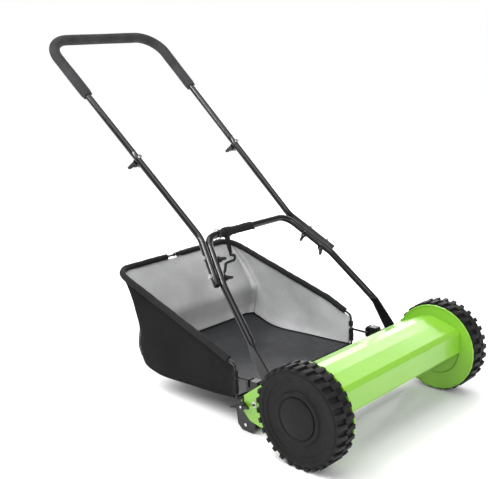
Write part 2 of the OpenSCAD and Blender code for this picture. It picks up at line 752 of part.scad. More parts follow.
// Where each nut's wings point, in degrees round its bolt, for the left and the right leg
wing_turns = [[100, 133], [65, 57]];
module lower_wing_nuts() {
    place() color("#202020") for (side = [0, 1], i = [0, 1]) {
        p = bolt_spot(bolt_places[i]) - (leg_gap + tube_d / 2 + 0.2) * bolt_dir;
        mirror([side, 0, 0]) facing(p, -bolt_dir) rotate([0, 0, wing_turns[side][i]])
            wing_nut(7, 9, 17, 12, 4);
    }
}

module bar_wrap() {
    place() color("#262626") difference() {
        rod_x(wrap_ends[0], wrap_ends[1], bar, tube_d / 2 + wrap_t);
        rod_x(wrap_ends[0] - 1, wrap_ends[1] + 1, bar, tube_d / 2 + 0.05);
    }
}

// ---------- strap and hook that hang from the bar ----------
module hanger_strap() {
    loop_r = tube_d / 2 + wrap_t + 0.5;
    low = [bar[0], bar[1] - 58];
    place() color("#202020") difference() {
        union() {
            rod_x(hanger_x - 10, hanger_x + 10, bar, loop_r + 2);
            translate([0, bar[0] + 2, bar[1]]) rotate([90, 0, 0]) linear_extrude(4)
                polygon([[hanger_x - 9, 0], [hanger_x + 9, 0], [hanger_x + 9, -18],
                    [hook_x + 5.5, -58], [hook_x - 5.5, -58], [hanger_x - 9, -22]]);
        }
        rod_x(hanger_x - 11, hanger_x + 11, bar, loop_r);
    }
}

module s_hook() {
    y = bar[0];
    z = bar[1] - 58.2;
    place() color("#202020") swept(route([[hook_x, y, z], [hook_x, y, z - 4],
        [hook_x + 16, y, z - 8], [hook_x + 14, y, z - 20], [hook_x - 18, y, z - 22],
        [hook_x - 22, y, z - 42], [hook_x - 38, y, z - 54], [hook_x - 26, y, z - 68]],
        [2, 5, 5, 6, 6, 7], 4), 5, 0, 10);
}

// ---------- grass catcher ----------
rim_path = [at(rim_wide, rim_mid), at(rear_half, rim_rear)];

module catcher_frame() {
    arm_x = 216;
    low = [catcher_half, rod_front, rod_low];
    loop = across(concat([[0.02, rod_front, rod_low], low, at(catcher_half, rim_front)], rim_path));
    arm = [[catcher_half - wire_d / 2 - 0.1, rod_front - 3, catcher_pin[1]],
        [arm_x, rod_front - 14, catcher_pin[1]], at(arm_x, catcher_pin),
        at(plate_in - 4, catcher_pin)];
    place() color("#2a2a2a") {
        swept(route(loop, concat([12, 14], rim_bends, reverse(rim_bends), [14, 12])), wire_d, 0, 10);
        both_sides() swept(route(arm, [10, 7]), wire_d, 0, 10);
    }
}

// Ends of the two short sleeves on each front upright, as heights
upright_sleeves = [[80, 112], [122, 134]];
notch = [-34, 14];
module catcher_rim() {
    start = at(catcher_half, rim_front) + 0.22 * (rim_path[0] - at(catcher_half, rim_front));
    bore = wire_d + 0.8;
    foot = [catcher_half, rod_front, rod_low];
    up = unit(at(catcher_half, rim_front) - foot);
    place() color("#2e2e2e") {
        difference() {
            swept(route(across(concat([start], rim_path)), concat(rim_bends, reverse(rim_bends))),
                sleeve_d, bore, 14);
            block(notch[0], notch[1], rim_rear[0] - 20, rim_rear[0] + 20, rim_rear[1] - 20,
                rim_rear[1] + 20);
        }
        both_sides() for (z = upright_sleeves) difference() {
            straight(foot + (z[0] - rod_low) * up, foot + (z[1] - rod_low) * up, 14);
            straight(foot + (z[0] - rod_low - 2) * up, foot + (z[1] - rod_low + 2) * up, bore);
        }
    }
}

// The cloth's rear edge and lower edge, shared by the rear panel, the tray and the sides
rear_line = [[612, 84.5], [602, 128], [593, 170], [612, 215], [645, 255], [685, 291]];
tray_line = [[253, 64], [409, 58], [497, 54], [587, 71], [609, 81.5]];
side_outline = concat([for (p = tray_line) p + [3, 2]], [for (i = [0:4]) rear_line[i] - [1, 0]],
    [[668, 279], [rim_mid[0], rim_mid[1] - 15], [rim_front[0] + 8, rim_front[1] - 6]]);
side_in = catcher_half - 0.7;
module catcher_side_left() {
    place() color("#3a3a3a") slab(side_in, side_in + cloth_t)
        polygon(side_outline);
}
module catcher_side_right() {
    place() color("#3a3a3a") mirror([1, 0, 0])
        slab(side_in, side_in + cloth_t) polygon(side_outline);
}

module catcher_rear() {
    reach = catcher_half - 1;
    top_reach = rear_half - 30;
    place() color("#909090") {
        slab(-reach, reach) polygon(sheet([for (i = [0:4]) rear_line[i]], cloth_t));
        slab(-top_reach, top_reach) polygon(sheet([for (i = [3:5]) rear_line[i]], cloth_t));
    }
}

module catcher_tray() {
    reach = catcher_half - 1;
    place() color("#505255") slab(-reach, reach) polygon(sheet(tray_line, 2));
}

module wire_clip() {
    place() color("#202020") difference() {
        union() {
            rod_x(clip_x - 4, clip_x + 6, rim_rear, 7);
            block(clip_x - 4, clip_x + 6, rim_rear[0] - 3, rim_rear[0] + 3, rim_rear[1] - 14,
                rim_rear[1]);
        }
        rod_x(clip_x - 6, clip_x + 8, rim_rear, wire_d / 2 + 0.05);
    }
}

// Link between the catcher's rim and the handle's bar: one wire bent into an open eye at each end
function eye(x, c, r, from, to) = [for (k = [0:16]) at(x, on_circle(c, r, from + (to - from) * k / 16))];
module hanger_wire() {
    t = 2;
    eye_low = wire_d / 2 + 1.7;
    eye_high = tube_d / 2 + 4.4;
    up = left_of(bar, rim_rear);
    top = atan2(up[1], up[0]);
    turn = 320;
    place() color("#404040")
        swept(concat(eye(-8, rim_rear, eye_low, top - turn, top - 3),
            eye(wrap_ends[0] - 3, bar, eye_high, top + 177, top + 177 - turn)), t, 0, 10);
}

side_plate_left();
side_plate_right();
deck_cover();
chassis_screws();
front_tie_rod();
axle_left();
axle_right();
axle_circlips();
reel_bearing_left();
reel_bearing_right();
handle_pivot_bolts();
handle_stop_pins();
catcher_hook_left();
catcher_hook_right();
bracket_pivot_bolts();
knife_adjusters();
bed_knife();
knife_bar();
knife_screws();
wheel_left();
wheel_right();
tyre_left();
tyre_right();
wheel_bush_left();
wheel_bush_right();
hub_cap_left();
hub_cap_right();
reel_shaft();
reel_spiders();
reel_blades();
pinion_left();
pinion_right();
drive_keys();
pinion_circlips();
height_bracket_left();
height_bracket_right();
height_knobs();
roller_shaft();
rear_roller();
lower_tube();
upper_tube_left();
upper_tube_right();
top_tube();
foam_grip();
top_bolts();
top_knobs();
lower_bolts();
lower_wing_nuts();
bar_wrap();
hanger_strap();
s_hook();
catcher_frame();
catcher_rim();
catcher_side_left();
catcher_side_right();
catcher_rear();
catcher_tray();
wire_clip();
hanger_wire();
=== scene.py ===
"""The looks of a push reel mower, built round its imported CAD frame.

Sizes are in millimetres in the CAD source's own layout: x across, y back from the wheel
axle, z above the floor. at() turns them into the frame's metres.
"""
import json
import math
import random

import bmesh
import bpy
import numpy as np
from mathutils import Matrix, Vector


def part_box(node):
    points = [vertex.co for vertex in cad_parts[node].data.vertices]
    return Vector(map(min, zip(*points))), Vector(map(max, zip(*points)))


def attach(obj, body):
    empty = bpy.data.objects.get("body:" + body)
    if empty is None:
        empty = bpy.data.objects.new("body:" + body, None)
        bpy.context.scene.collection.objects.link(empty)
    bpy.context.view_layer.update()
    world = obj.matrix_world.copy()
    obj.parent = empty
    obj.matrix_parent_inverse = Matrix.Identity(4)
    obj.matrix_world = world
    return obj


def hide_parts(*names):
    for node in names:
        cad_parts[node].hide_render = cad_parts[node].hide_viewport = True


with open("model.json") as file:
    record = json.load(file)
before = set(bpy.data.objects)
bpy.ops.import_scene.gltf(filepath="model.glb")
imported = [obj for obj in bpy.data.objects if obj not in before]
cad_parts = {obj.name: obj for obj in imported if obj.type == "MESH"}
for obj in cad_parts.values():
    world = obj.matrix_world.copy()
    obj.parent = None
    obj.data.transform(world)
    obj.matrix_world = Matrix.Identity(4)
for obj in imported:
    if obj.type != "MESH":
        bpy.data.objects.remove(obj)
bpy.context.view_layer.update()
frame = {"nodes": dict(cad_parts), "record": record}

# ---------- driving values, as in the CAD source ----------
tyre_low, tyre_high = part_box("tyre_left")
AXLE_Y = (tyre_low.y + tyre_high.y) / 2
WHEEL_R = 115
WHEEL_IN = 246  # x of the wheels' inner faces
WHEEL_W = 55
LUGS = 30
GEAR_TEETH = 46
RIM_R = 106
PLATE_IN = 242.5  # x of the side plates' inner faces
TUBE_R = 9
GRIP_R = 15
GRIP_BEND = 70
CORNER_TOP = Vector((195, 972, 908))  # before its corner is rounded, as are the other bends
BEND_LOW = Vector((167, 412, 424))
JOINT_TOP = BEND_LOW + (CORNER_TOP - BEND_LOW) * 0.4055
GRIP_START = CORNER_TOP + (BEND_LOW - CORNER_TOP) * 0.302
UPPER_END = Vector((219, 306, 334))
TUBE_GAP = Vector((19.8, 0, 0))
BAR_CORNER = BEND_LOW + (UPPER_END - BEND_LOW) * 0.02 - TUBE_GAP
LOWER_BEND = UPPER_END + (UPPER_END - BEND_LOW) * 0.08 - TUBE_GAP
LOWER_END = Vector((231, 190, 222))
STRAP_X = 238.3
STRAP_TOP = Vector((178, 205))  # y and z
PIVOT = Vector((122, 128))  # y and z, where the handle turns
BOLT_PLACES = (0.45, 0.83)  # shares of the upper tube's lower leg
BAR = (BAR_CORNER.y, BAR_CORNER.z)
WRAP_ENDS = (-108, 12)  # x
STRAP_MIDDLE = -78  # x
WIRE_R = 3
ROD_FOOT = Vector((226, 249, 62))
RIM_FRONT = Vector((226, 250, 152))
RIM_MID = Vector((229, 335, 187))
RIM_REAR = Vector((215, 698, 303))
RIM_BENDS = (70, 45)
SLEEVE_R = 9
NOTCH = (-34, 14)  # x of the gap between the two rim sleeves
DECK_LINE = ((99, 162), (38, 192), (9, 197), (-23, 190), (-63, 177), (-72, 168), (-72, 117))
HEIGHT_KNOB = (207, 67)  # y and z
SIDES = {"left": 1, "right": -1}


def at(p):
    """A point in the frame's metres, from the layout's millimetres."""
    return Vector((p[0] * 0.001, AXLE_Y + p[1] * 0.001, p[2] * 0.001))


def flip(p, side):
    return Vector((p[0] * side, p[1], p[2]))


# ---------- materials ----------
class Finish:
    """A Principled material and the nodes that give it its detail."""

    def __init__(self, name, color, rough, metal=0.0, **sockets):
        self.mat = bpy.data.materials.new(name)
        self.mat.use_nodes = True
        self.tree = self.mat.node_tree
        self.shader = self.tree.nodes["Principled BSDF"]
        self.shader.inputs["Base Color"].default_value = (*color, 1)
        self.shader.inputs["Roughness"].default_value = rough
        self.shader.inputs["Metallic"].default_value = metal
        for socket, value in sockets.items():
            self.shader.inputs[socket.replace("_", " ")].default_value = value
        self.height = None

    def node(self, kind, inputs=(), **settings):
        n = self.tree.nodes.new("ShaderNode" + kind)
        for key, value in settings.items():
            setattr(n, key, value)
        for key, value in dict(inputs).items():
            if hasattr(value, "links"):
                self.tree.links.new(value, n.inputs[key])
            else:
                n.inputs[key].default_value = value
        return n

    def math(self, operation, a, b=0.0):
        return self.node("Math", {0: a, 1: b}, operation=operation).outputs[0]

    def place(self, stretch=(1, 1, 1)):
        own = self.node("TexCoord").outputs["Object"]
        return self.node("Mapping", {"Vector": own, "Scale": stretch}).outputs[0]

    def noise(self, scale, detail=3.0, stretch=(1, 1, 1)):
        where = self.place(stretch)
        grain = self.node("TexNoise", {"Vector": where, "Scale": scale, "Detail": detail})
        return grain.outputs["Fac"]

    def tint(self, fac, low, high, edges=(0.3, 0.7)):
        """Runs the base colour from low to high with fac."""
        ramp = self.node("ValToRGB", {0: fac})
        for stop, place, color in zip(ramp.color_ramp.elements, edges, (low, high)):
            stop.position = place
            stop.color = (*color, 1)
        self.tree.links.new(ramp.outputs[0], self.shader.inputs["Base Color"])

    def gloss(self, fac, low, high):
        out = self.node("MapRange", {0: fac, 1: 0.3, 2: 0.7, 3: low, 4: high}).outputs[0]
        self.tree.links.new(out, self.shader.inputs["Roughness"])

    def bump(self, height, distance, strength=1.0):
        """Adds one more layer of relief, distance in metres."""
        n = self.node("Bump", {"Height": height, "Distance": distance, "Strength": strength})
        if self.height:
            self.tree.links.new(self.height, n.inputs["Normal"])
        self.height = n.outputs[0]
        self.tree.links.new(self.height, self.shader.inputs["Normal"])

    def across_weave(self, pitch):
        """How far a point is from the nearest warp and weft thread's middle, each from 0 to 0.5."""
        uv = self.node("SeparateXYZ", {0: self.node("UVMap", uv_map="cloth").outputs[0]})
        out = []
        for axis in (0, 1):
            turns = self.math("FRACT", self.math("MULTIPLY", uv.outputs[axis], 1 / pitch))
            out.append(self.math("ABSOLUTE", self.math("SUBTRACT", turns, 0.5)))
        return out


def painted(name, color, dark, rough, coat=0.0, level=0.5):
    f = Finish(name, color, rough, Coat_Weight=coat, Coat_Roughness=0.12, Specular_IOR_Level=level)
    f.tint(f.noise(9), dark, color, (0.25, 0.75))
    f.gloss(f.noise(60), rough * 0.85, rough * 1.2)
    f.bump(f.noise(900, 1), 0.00004, 0.5)
    return f.mat


def moulded(name, color, rough, grain=0.00006, level=0.25):
    f = Finish(name, color, rough, Specular_IOR_Level=level)
    paler = tuple(c * 1.5 for c in color)
    f.tint(f.noise(14, 5), color, paler)
    f.gloss(f.noise(40), rough * 0.9, rough * 1.15)
    f.bump(f.noise(2200, 2), grain, 0.6)
    return f.mat


def metal(name, color, rough, stretch=(1, 1, 1)):
    f = Finish(name, color, rough, 1.0)
    f.tint(f.noise(35, 4), tuple(c * 0.72 for c in color), color)
    f.gloss(f.noise(300, 3, stretch), rough * 0.75, rough * 1.35)
    f.bump(f.noise(900, 2, stretch), 0.00003, 0.6)
    return f.mat


def woven(name, color, pitch, cover=1.0, rough=0.85, level=0.2):
    """Plain woven cloth; threads fill cover of its area."""
    f = Finish(name, color, rough, Specular_IOR_Level=level)
    f.tint(f.noise(7, 5), tuple(c * 0.8 for c in color), tuple(c * 1.25 for c in color))
    warp, weft = f.across_weave(pitch)
    nearest = f.math("MINIMUM", warp, weft)
    f.bump(f.math("SUBTRACT", 0.5, nearest), pitch * 0.25, 0.8)
    f.bump(f.noise(45, 3, (1, 1, 0.25)), 0.0012, 0.5)
    if cover < 1:
        half_thread = (1 - math.sqrt(1 - cover)) / 2
        thread = f.math("LESS_THAN", nearest, half_thread)
        f.tree.links.new(thread, f.shader.inputs["Alpha"])
    return f.mat


def foam_finish():
    f = Finish("foam", (0.05, 0.05, 0.052), 0.9, Specular_IOR_Level=0.2)
    f.tint(f.noise(25, 5), (0.036, 0.036, 0.038), (0.06, 0.06, 0.063))
    cells = f.node("TexVoronoi", {"Vector": f.place(), "Scale": 900.0}).outputs["Distance"]
    f.bump(cells, 0.0003, 0.8)
    f.bump(f.noise(120, 4, (1, 1, 1)), 0.0008, 0.7)
    return f.mat


FINISHES = {
    "green_paint": painted(
        "green_paint", (0.235, 0.52, 0.026), (0.2, 0.48, 0.02), 0.42, 0.35, 0.85
    ),
    "black_steel": painted("black_steel", (0.005, 0.005, 0.006), (0.003, 0.003, 0.004), 0.13),
    "zinc": metal("zinc", (0.75, 0.76, 0.78), 0.25),
    "spring_steel": metal("spring_steel", (0.35, 0.35, 0.37), 0.35),
    "blade_steel": metal("blade_steel", (0.55, 0.56, 0.58), 0.3, (0.1, 1, 1)),
    "brass": metal("brass", (0.8, 0.6, 0.25), 0.3),
    "nylon": moulded("nylon", (0.7, 0.68, 0.6), 0.4),
    "black_plastic": moulded("black_plastic", (0.007, 0.007, 0.007), 0.36, level=0.35),
    "wheel_plastic": moulded("wheel_plastic", (0.0065, 0.0065, 0.0065), 0.5, level=0.16),
    "tread": moulded("tread", (0.01, 0.01, 0.0103), 0.6, 0.0001, 0.22),
    "foam": foam_finish(),
    "webbing": woven("webbing", (0.014, 0.014, 0.015), 0.0018),
    "sleeve_cloth": woven("sleeve_cloth", (0.016, 0.016, 0.0165), 0.0012),
    "mesh_cloth": woven("mesh_cloth", (0.008, 0.008, 0.0085), 0.0016, 0.93, level=0.12),
    "tray_board": moulded("tray_board", (0.024, 0.0248, 0.0268), 0.45, 0.0001, 0.33),
    "wire": painted("wire", (0.03, 0.03, 0.032), (0.02, 0.02, 0.021), 0.35),
}
# Painted light: the side panels' inner face is the black mesh cloth painted pale grey, standing for
# the white light seen through the mesh.
MESH_INSIDE_PAINTED_LIGHT = woven("mesh_inside_painted_light", (0.59, 0.59, 0.6), 0.0016, 0.93)
REAR_OUTSIDE = woven("rear_outside", (0.02, 0.02, 0.021), 0.0016, 0.84)
# Painted light: the rear panel's inner face is the dark mesh cloth painted pale grey, standing for
# the light seen through it.
REAR_INSIDE_PAINTED_LIGHT = woven("rear_inside_painted_light", (0.5, 0.5, 0.505), 0.0016, 0.84)
PIPING = woven("piping", (0.008, 0.008, 0.009), 0.0012)

for part in frame["record"]["subparts"]:
    node = frame["nodes"][part["node"]]
    node.data.materials.clear()
    node.data.materials.append(FINISHES[part["material_slot"]])


# ---------- mesh tools ----------
def solid(name, points, faces, finish, uvs=None, sharp=40):
    """A mesh object from points in millimetres."""
    mesh = bpy.data.meshes.new(name)
    mesh.from_pydata([at(p) for p in points], [], faces)
    if uvs is not None:
        layer = mesh.uv_layers.new(name="cloth")
        for loop in mesh.loops:
            layer.data[loop.index].uv = uvs[loop.vertex_index]
    work = bmesh.new()
    work.from_mesh(mesh)
    bmesh.ops.recalc_face_normals(work, faces=work.faces)
    work.to_mesh(mesh)
    work.free()
    mesh.shade_smooth()
    mesh.set_sharp_from_angle(angle=math.radians(sharp))
    obj = bpy.data.objects.new(name, mesh)
    bpy.context.scene.collection.objects.link(obj)
    for one in finish if isinstance(finish, list) else [finish]:
        obj.data.materials.append(one)
    return obj


def welded(obj):
    """Closes the seam where a turned mesh meets itself."""
    work = bmesh.new()
    work.from_mesh(obj.data)
    bmesh.ops.remove_doubles(work, verts=work.verts, dist=1e-7)
    bmesh.ops.recalc_face_normals(work, faces=work.faces)
    work.to_mesh(obj.data)
    work.free()
    return obj


def joined(name, objs):
    """One piece made of several meshes."""
    with bpy.context.temp_override(active_object=objs[0], selected_editable_objects=objs):
        bpy.ops.object.join()
    objs[0].name = name
    return objs[0]


def softened(obj, width, segments=2, angle=35):
    """Rounds the edges sharper than angle, width in millimetres."""
    edge = obj.modifiers.new("edges", "BEVEL")
    edge.width = width * 0.001
    edge.segments = segments
    edge.limit_method = "ANGLE"
    edge.angle_limit = math.radians(angle)
    obj.modifiers.new("normals", "WEIGHTED_NORMAL").keep_sharp = True
    return obj


def put(obj, body, slot, *nodes):
    """Says what the piece rides on and hides the CAD nodes that it stands for; slot is not used."""
    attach(obj, body)
    if nodes:
        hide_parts(*nodes)
    return obj


def rounded(points, radii, steps=10):
    """The path with its inner corners rounded to the given radii."""
    points = [Vector(p) for p in points]
    out = [points[0]]
    for i, r in enumerate(radii):
        a, b, c = points[i : i + 3]
        u, v = (a - b).normalized(), (c - b).normalized()
        half = u.angle(v) / 2
        centre = b + (u + v).normalized() * (r / math.sin(half))
        start = b + u * (r / math.tan(half)) - centre
        end = b + v * (r / math.tan(half)) - centre
        start.normalize()
        end.normalize()
        out += [centre + start.slerp(end, k / steps) * r for k in range(steps + 1)]
    return out + [points[-1]]


def evenly(path, step):
    """The same path with points no further apart than step."""
    out = [path[0]]
    for a, b in zip(path, path[1:]):
        n = max(1, math.ceil((b - a).length / step))
        out += [a.lerp(b, k / n) for k in range(1, n + 1)]
    return out


def length_of(path):
    """The path's length in millimetres."""
    return sum((b - a).length for a, b in zip(path, path[1:]))


def across(half):
    """The half path on the left side, and its mirror image back on the right."""
    return half + [flip(p, -1) for p in reversed(half)]


def framed(path):
    """Two directions square to the path at each of its points, turning as little as possible."""
    out, side = [], None
    for i in range(len(path)):
        ahead = path[min(i + 1, len(path) - 1)] - path[max(i - 1, 0)]
        ahead.normalize()
        if side is None:
            side = ahead.cross(Vector((0.13, 0.21, 0.97))).normalized()
        side = (side - ahead * side.dot(ahead)).normalized()
        out.append((side.copy(), ahead.cross(side).normalized()))
    return out


def tube(name, path, radius, finish, around=20, cap=1.2):
    """A round bar along the path, open at its ends where cap is 0.

    radius is a number, or a function of the length so far and the angle.
    """
    size = radius if callable(radius) else lambda s, a: radius
    path = [Vector(p) for p in path]
    lengths = [0]
    for a, b in zip(path, path[1:]):
        lengths.append(lengths[-1] + (b - a).length)
    points, uvs, faces = [], [], []
    for p, (side, up), s in zip(path, framed(path), lengths):
        for k in range(around + 1):
            a = 2 * math.pi * k / around
            r = size(s, a)
            points.append(p + (side * math.cos(a) + up * math.sin(a)) * r)
            uvs.append((s * 0.001, a * r * 0.001))
    row = around + 1
    for i in range(len(path) - 1):
        for k in range(around):
            j = i * row + k
            faces.append((j, j + 1, j + 1 + row, j + row))
    for end, inward in ((0, 1), (len(path) - 1, -1)) if cap else ():
        first = end * row
        step = path[end + inward] - path[end]
        out = -step.normalized() * cap
        ring = [first + k for k in range(around)]
        for shrink, push in ((0.93, 0.55), (0.8, 1.0)):
            base = len(points)
            for k in range(around):
                points.append(path[end] + (points[first + k] - path[end]) * shrink + out * push)
                uvs.append(uvs[first + k])
            faces += [
                (ring[k], ring[(k + 1) % around], base + (k + 1) % around, base + k)
                for k in range(around)
            ]
            ring = list(range(base, base + around))
        faces.append(tuple(ring))
    return welded(solid(name, points, faces, finish, uvs))


def lathe(name, centre, outline, finish, side=1, around=128):
    """A piece turned about x through centre; outline is a closed loop of (radius, x)."""
    n = len(outline)
    points, faces = [], []
    for k in range(around):
        a = 2 * math.pi * k / around
        for r, x in outline:
            points.append((x * side, centre[0] + r * math.cos(a), centre[1] + r * math.sin(a)))
    for k in range(around):
        for i in range(n):
            a, b = k * n, (k + 1) % around * n
            j = (i + 1) % n
            if outline[i][0] == 0 and outline[j][0] == 0:
                continue
            faces.append((a + i, a + j, b + j, b + i))
    return welded(solid(name, points, faces, finish, sharp=30))


def rounded_outline(corners, r, steps=4):
    """A closed 2D outline with its corners rounded to r, less where an edge is short."""
    out = []
    n = len(corners)
    for i in range(n):
        a, b, c = Vector(corners[i - 1]), Vector(corners[i]), Vector(corners[(i + 1) % n])
        if b.x == 0 or r == 0:
            out.append(tuple(b))
            continue
        u, v = (a - b), (c - b)
        cut = min(r, u.length * 0.45, v.length * 0.45)
        start, end = b + u.normalized() * cut, b + v.normalized() * cut
        for k in range(steps + 1):
            t = k / steps
            out.append(tuple(start * (1 - t) ** 2 + b * 2 * t * (1 - t) + end * t**2))
    return out


def plate(name, outline, x0, x1, finish, bevel=0.4):
    """A flat plate between two x places, outline in (y, z)."""
    n = len(outline)
    points = [(x, y, z) for x in (x0, x1) for y, z in outline]
    faces = [tuple(range(n)), tuple(range(2 * n - 1, n - 1, -1))]
    faces += [(i, (i + 1) % n, (i + 1) % n + n, i + n) for i in range(n)]
    return softened(solid(name, points, faces, finish), bevel)


def grid(name, rows, finish, thickness):
    """A sheet through rows of points, its thickness in millimetres shared by both sides.

    finish is a material, or a list of the outer and the inner one.
    """
    n = len(rows[0])
    points = [p for row in rows for p in row]
    uvs = []
    u = [0.0]
    for a, b in zip(rows[0], rows[0][1:]):
        u.append(u[-1] + (Vector(b) - Vector(a)).length * 0.001)
    v = 0.0
    for i, row in enumerate(rows):
        if i:
            v += (Vector(row[n // 2]) - Vector(rows[i - 1][n // 2])).length * 0.001
        uvs += [(x, v) for x in u]
    faces = [
        (i * n + k, i * n + k + 1, (i + 1) * n + k + 1, (i + 1) * n + k)
        for i in range(len(rows) - 1)
        for k in range(n - 1)
    ]
    obj = solid(name, points, faces, finish, uvs, sharp=60)
    wall = obj.modifiers.new("thickness", "SOLIDIFY")
    wall.thickness = thickness * 0.001
    wall.offset = 0
    if isinstance(finish, list):
        wall.material_offset = 1
    return obj


# ---------- camera, light and floor ----------
LENS, SENSOR = 62.22, 36  # millimetres, solved from the photograph
CAMERA_PLACE = Vector((-1.535, AXLE_Y - 1.0713, 0.9023))
CAMERA_TURN = (
    (0.69132, 0.19420, -0.69597),
    (-0.72163, 0.13692, -0.67860),
    (-0.03649, 0.97136, 0.23480),
)
SOFTBOXES = (  # name, place, target, size, watts
    ("high_front", (-1.2, -2.8, 1.9), (0, 0, 0.2), (1.8, 1.4), 36),
    ("left_rear", (2.4, 1.5, 1.35), (0, -0.35, 0.2), (3.2, 2.0), 76),
    ("strip", (-1.7, 0.9, 2.6), (0, 0.1, 0.4), (0.24, 2.4), 40),
)
CEILING = 2.25
FILL = 0.4
FLOOR_HALF, FLOOR_Z = 9000, -0.4


def camera():
    data = bpy.data.cameras.new("camera")
    data.sensor_width = SENSOR
    data.lens = LENS
    cam = bpy.data.objects.new("camera", data)
    bpy.context.scene.collection.objects.link(cam)
    cam.matrix_world = Matrix.Translation(CAMERA_PLACE) @ Matrix(CAMERA_TURN).to_4x4()
    bpy.context.scene.camera = cam


def softbox(name, place, target, size, power):
    data = bpy.data.lights.new(name, "AREA")
    data.shape = "RECTANGLE"
    data.size, data.size_y = size
    data.energy = power
    lamp = bpy.data.objects.new(name, data)
    bpy.context.scene.collection.objects.link(lamp)
    lamp.location = place
    lamp.rotation_euler = (Vector(target) - Vector(place)).to_track_quat("-Z", "Y").to_euler()


def studio():
    """Soft light from three boxes and a wide sky, with a white world seen behind the object."""
    world = bpy.data.worlds.new("studio")
    world.use_nodes = True
    tree = world.node_tree
    seen = tree.nodes["Background"]
    seen.inputs["Strength"].default_value = 1.0
    seen.inputs["Color"].default_value = (1, 1, 1, 1)
    fill = tree.nodes.new("ShaderNodeBackground")
    fill.inputs["Color"].default_value = (1, 1, 1, 1)
    fill.inputs["Strength"].default_value = FILL
    mix = tree.nodes.new("ShaderNodeMixShader")
    path = tree.nodes.new("ShaderNodeLightPath")
    tree.links.new(path.outputs["Is Camera Ray"], mix.inputs[0])
    tree.links.new(fill.outputs[0], mix.inputs[1])
    tree.links.new(seen.outputs[0], mix.inputs[2])
    tree.links.new(mix.outputs[0], tree.nodes["World Output"].inputs["Surface"])
    bpy.context.scene.world = world
    bpy.context.scene.view_settings.view_transform = "Standard"
    for box in SOFTBOXES:
        softbox(*box)
    sun = bpy.data.lights.new("ceiling", "SUN")
    sun.energy = CEILING
    sun.angle = math.radians(70)
    lamp = bpy.data.objects.new("ceiling", sun)
    bpy.context.scene.collection.objects.link(lamp)
    lamp.rotation_euler = (math.radians(-12), math.radians(-14), 0)
    floor = solid(
        "floor",
        [(x, y, FLOOR_Z) for x, y in (
            (-FLOOR_HALF, -FLOOR_HALF), (FLOOR_HALF, -FLOOR_HALF),
            (FLOOR_HALF, FLOOR_HALF), (-FLOOR_HALF, FLOOR_HALF),
        )],
        [(0, 1, 2, 3)],
        painted("floor_paint", (0.99, 0.99, 0.99), (0.97, 0.97, 0.97), 0.8),
    )


# ---------- wheels ----------
def lug(middle, u0, u1, slant):
    """One tread lug: its points unrolled as (along the rim, across, radius), then rolled up."""
    half, inset = 7.2, 0.7
    base, top = RIM_R + 1.5, WHEEL_R - 0.15
    end = half - 2.5
    corners = [(-half - slant, u0), (-half + slant, u1), (end + slant, u1), (end - slant, u0)]
    work = bmesh.new()
    rings = []
    for r, pull in ((base, 0), (top, inset)):
        rings.append([
            work.verts.new(
                (s - math.copysign(pull, s), u + (pull * 0.6 if u == u0 else -pull * 0.6), r)
            )
            for s, u in corners
        ])
    low, high = rings
    work.faces.new(high)
    work.faces.new(reversed(low))
    for k in range(4):
        j = (k + 1) % 4
        work.faces.new((low[k], low[j], high[j], high[k]))
    edges = [e for e in work.edges if not all(v in low for v in e.verts)]
    bmesh.ops.bevel(work, geom=edges, offset=0.9, segments=2, profile=0.6, affect="EDGES")
    work.verts.index_update()
    points = []
    for v in work.verts:
        s, u, r = v.co
        a = middle + s / WHEEL_R
        points.append((WHEEL_IN + u, r * math.sin(a), WHEEL_R + r * math.cos(a)))
    faces = [tuple(v.index for v in f.verts) for f in work.faces]
    work.free()
    return points, faces


def tyre(name, side):
    points, faces = [], []
    for i in range(LUGS):
        turn = 2 * math.pi * i / LUGS
        for middle, u0, u1, slant in (
            (turn, WHEEL_W / 2 - 2, WHEEL_W, 1.6),
            (turn + math.pi / LUGS, 0, WHEEL_W / 2 + 2, -1.6),
        ):
            more, shapes = lug(-middle, u0, u1, slant)
            shift = len(points)
            points += more
            faces += [tuple(j + shift for j in f) for f in shapes]
    points = [(x * side, y, z) for x, y, z in points]
    lugs = solid(name + "_lugs", points, faces, FINISHES["tread"])
    band = lathe(
        name + "_band",
        (0, WHEEL_R),
        rounded_outline(
            [(RIM_R - 0.5, WHEEL_IN + 1), (RIM_R + 2.5, WHEEL_IN + 1.5),
             (RIM_R + 2.9, WHEEL_IN + 27), (RIM_R + 2.5, WHEEL_IN + WHEEL_W - 2),
             (RIM_R - 0.5, WHEEL_IN + WHEEL_W - 1.5)],
            0.8,
        ),
        FINISHES["tread"],
        side,
    )
    return joined(name, [band, lugs])


def wheel(name, side):
    face = WHEEL_IN + WHEEL_W
    body = lathe(
        name,
        (0, WHEEL_R),
        rounded_outline(
            [(9.5, WHEEL_IN + 4), (17, WHEEL_IN + 4), (17, face - 11), (62, face - 11),
             (62, WHEEL_IN + 3), (66, WHEEL_IN + 3), (66, face - 11), (RIM_R - 4, face - 11),
             (RIM_R - 4, WHEEL_IN + 2), (RIM_R, WHEEL_IN + 2), (RIM_R, face - 1.8),
             (RIM_R - 2.5, face - 0.6), (RIM_R - 9, face - 0.6), (RIM_R - 12, face - 3.2),
             (86, face - 3.4), (84, face - 5.8), (60.5, face - 6.2), (58, face - 2.4),
             (50.5, face - 2.4), (47.6, face - 5.0), (9.5, face - 5.0)],
            1.3,
        ),
        FINISHES["wheel_plastic"],
        side,
    )
    return joined(name, [body, ring_gear(name + "_gear", side)])


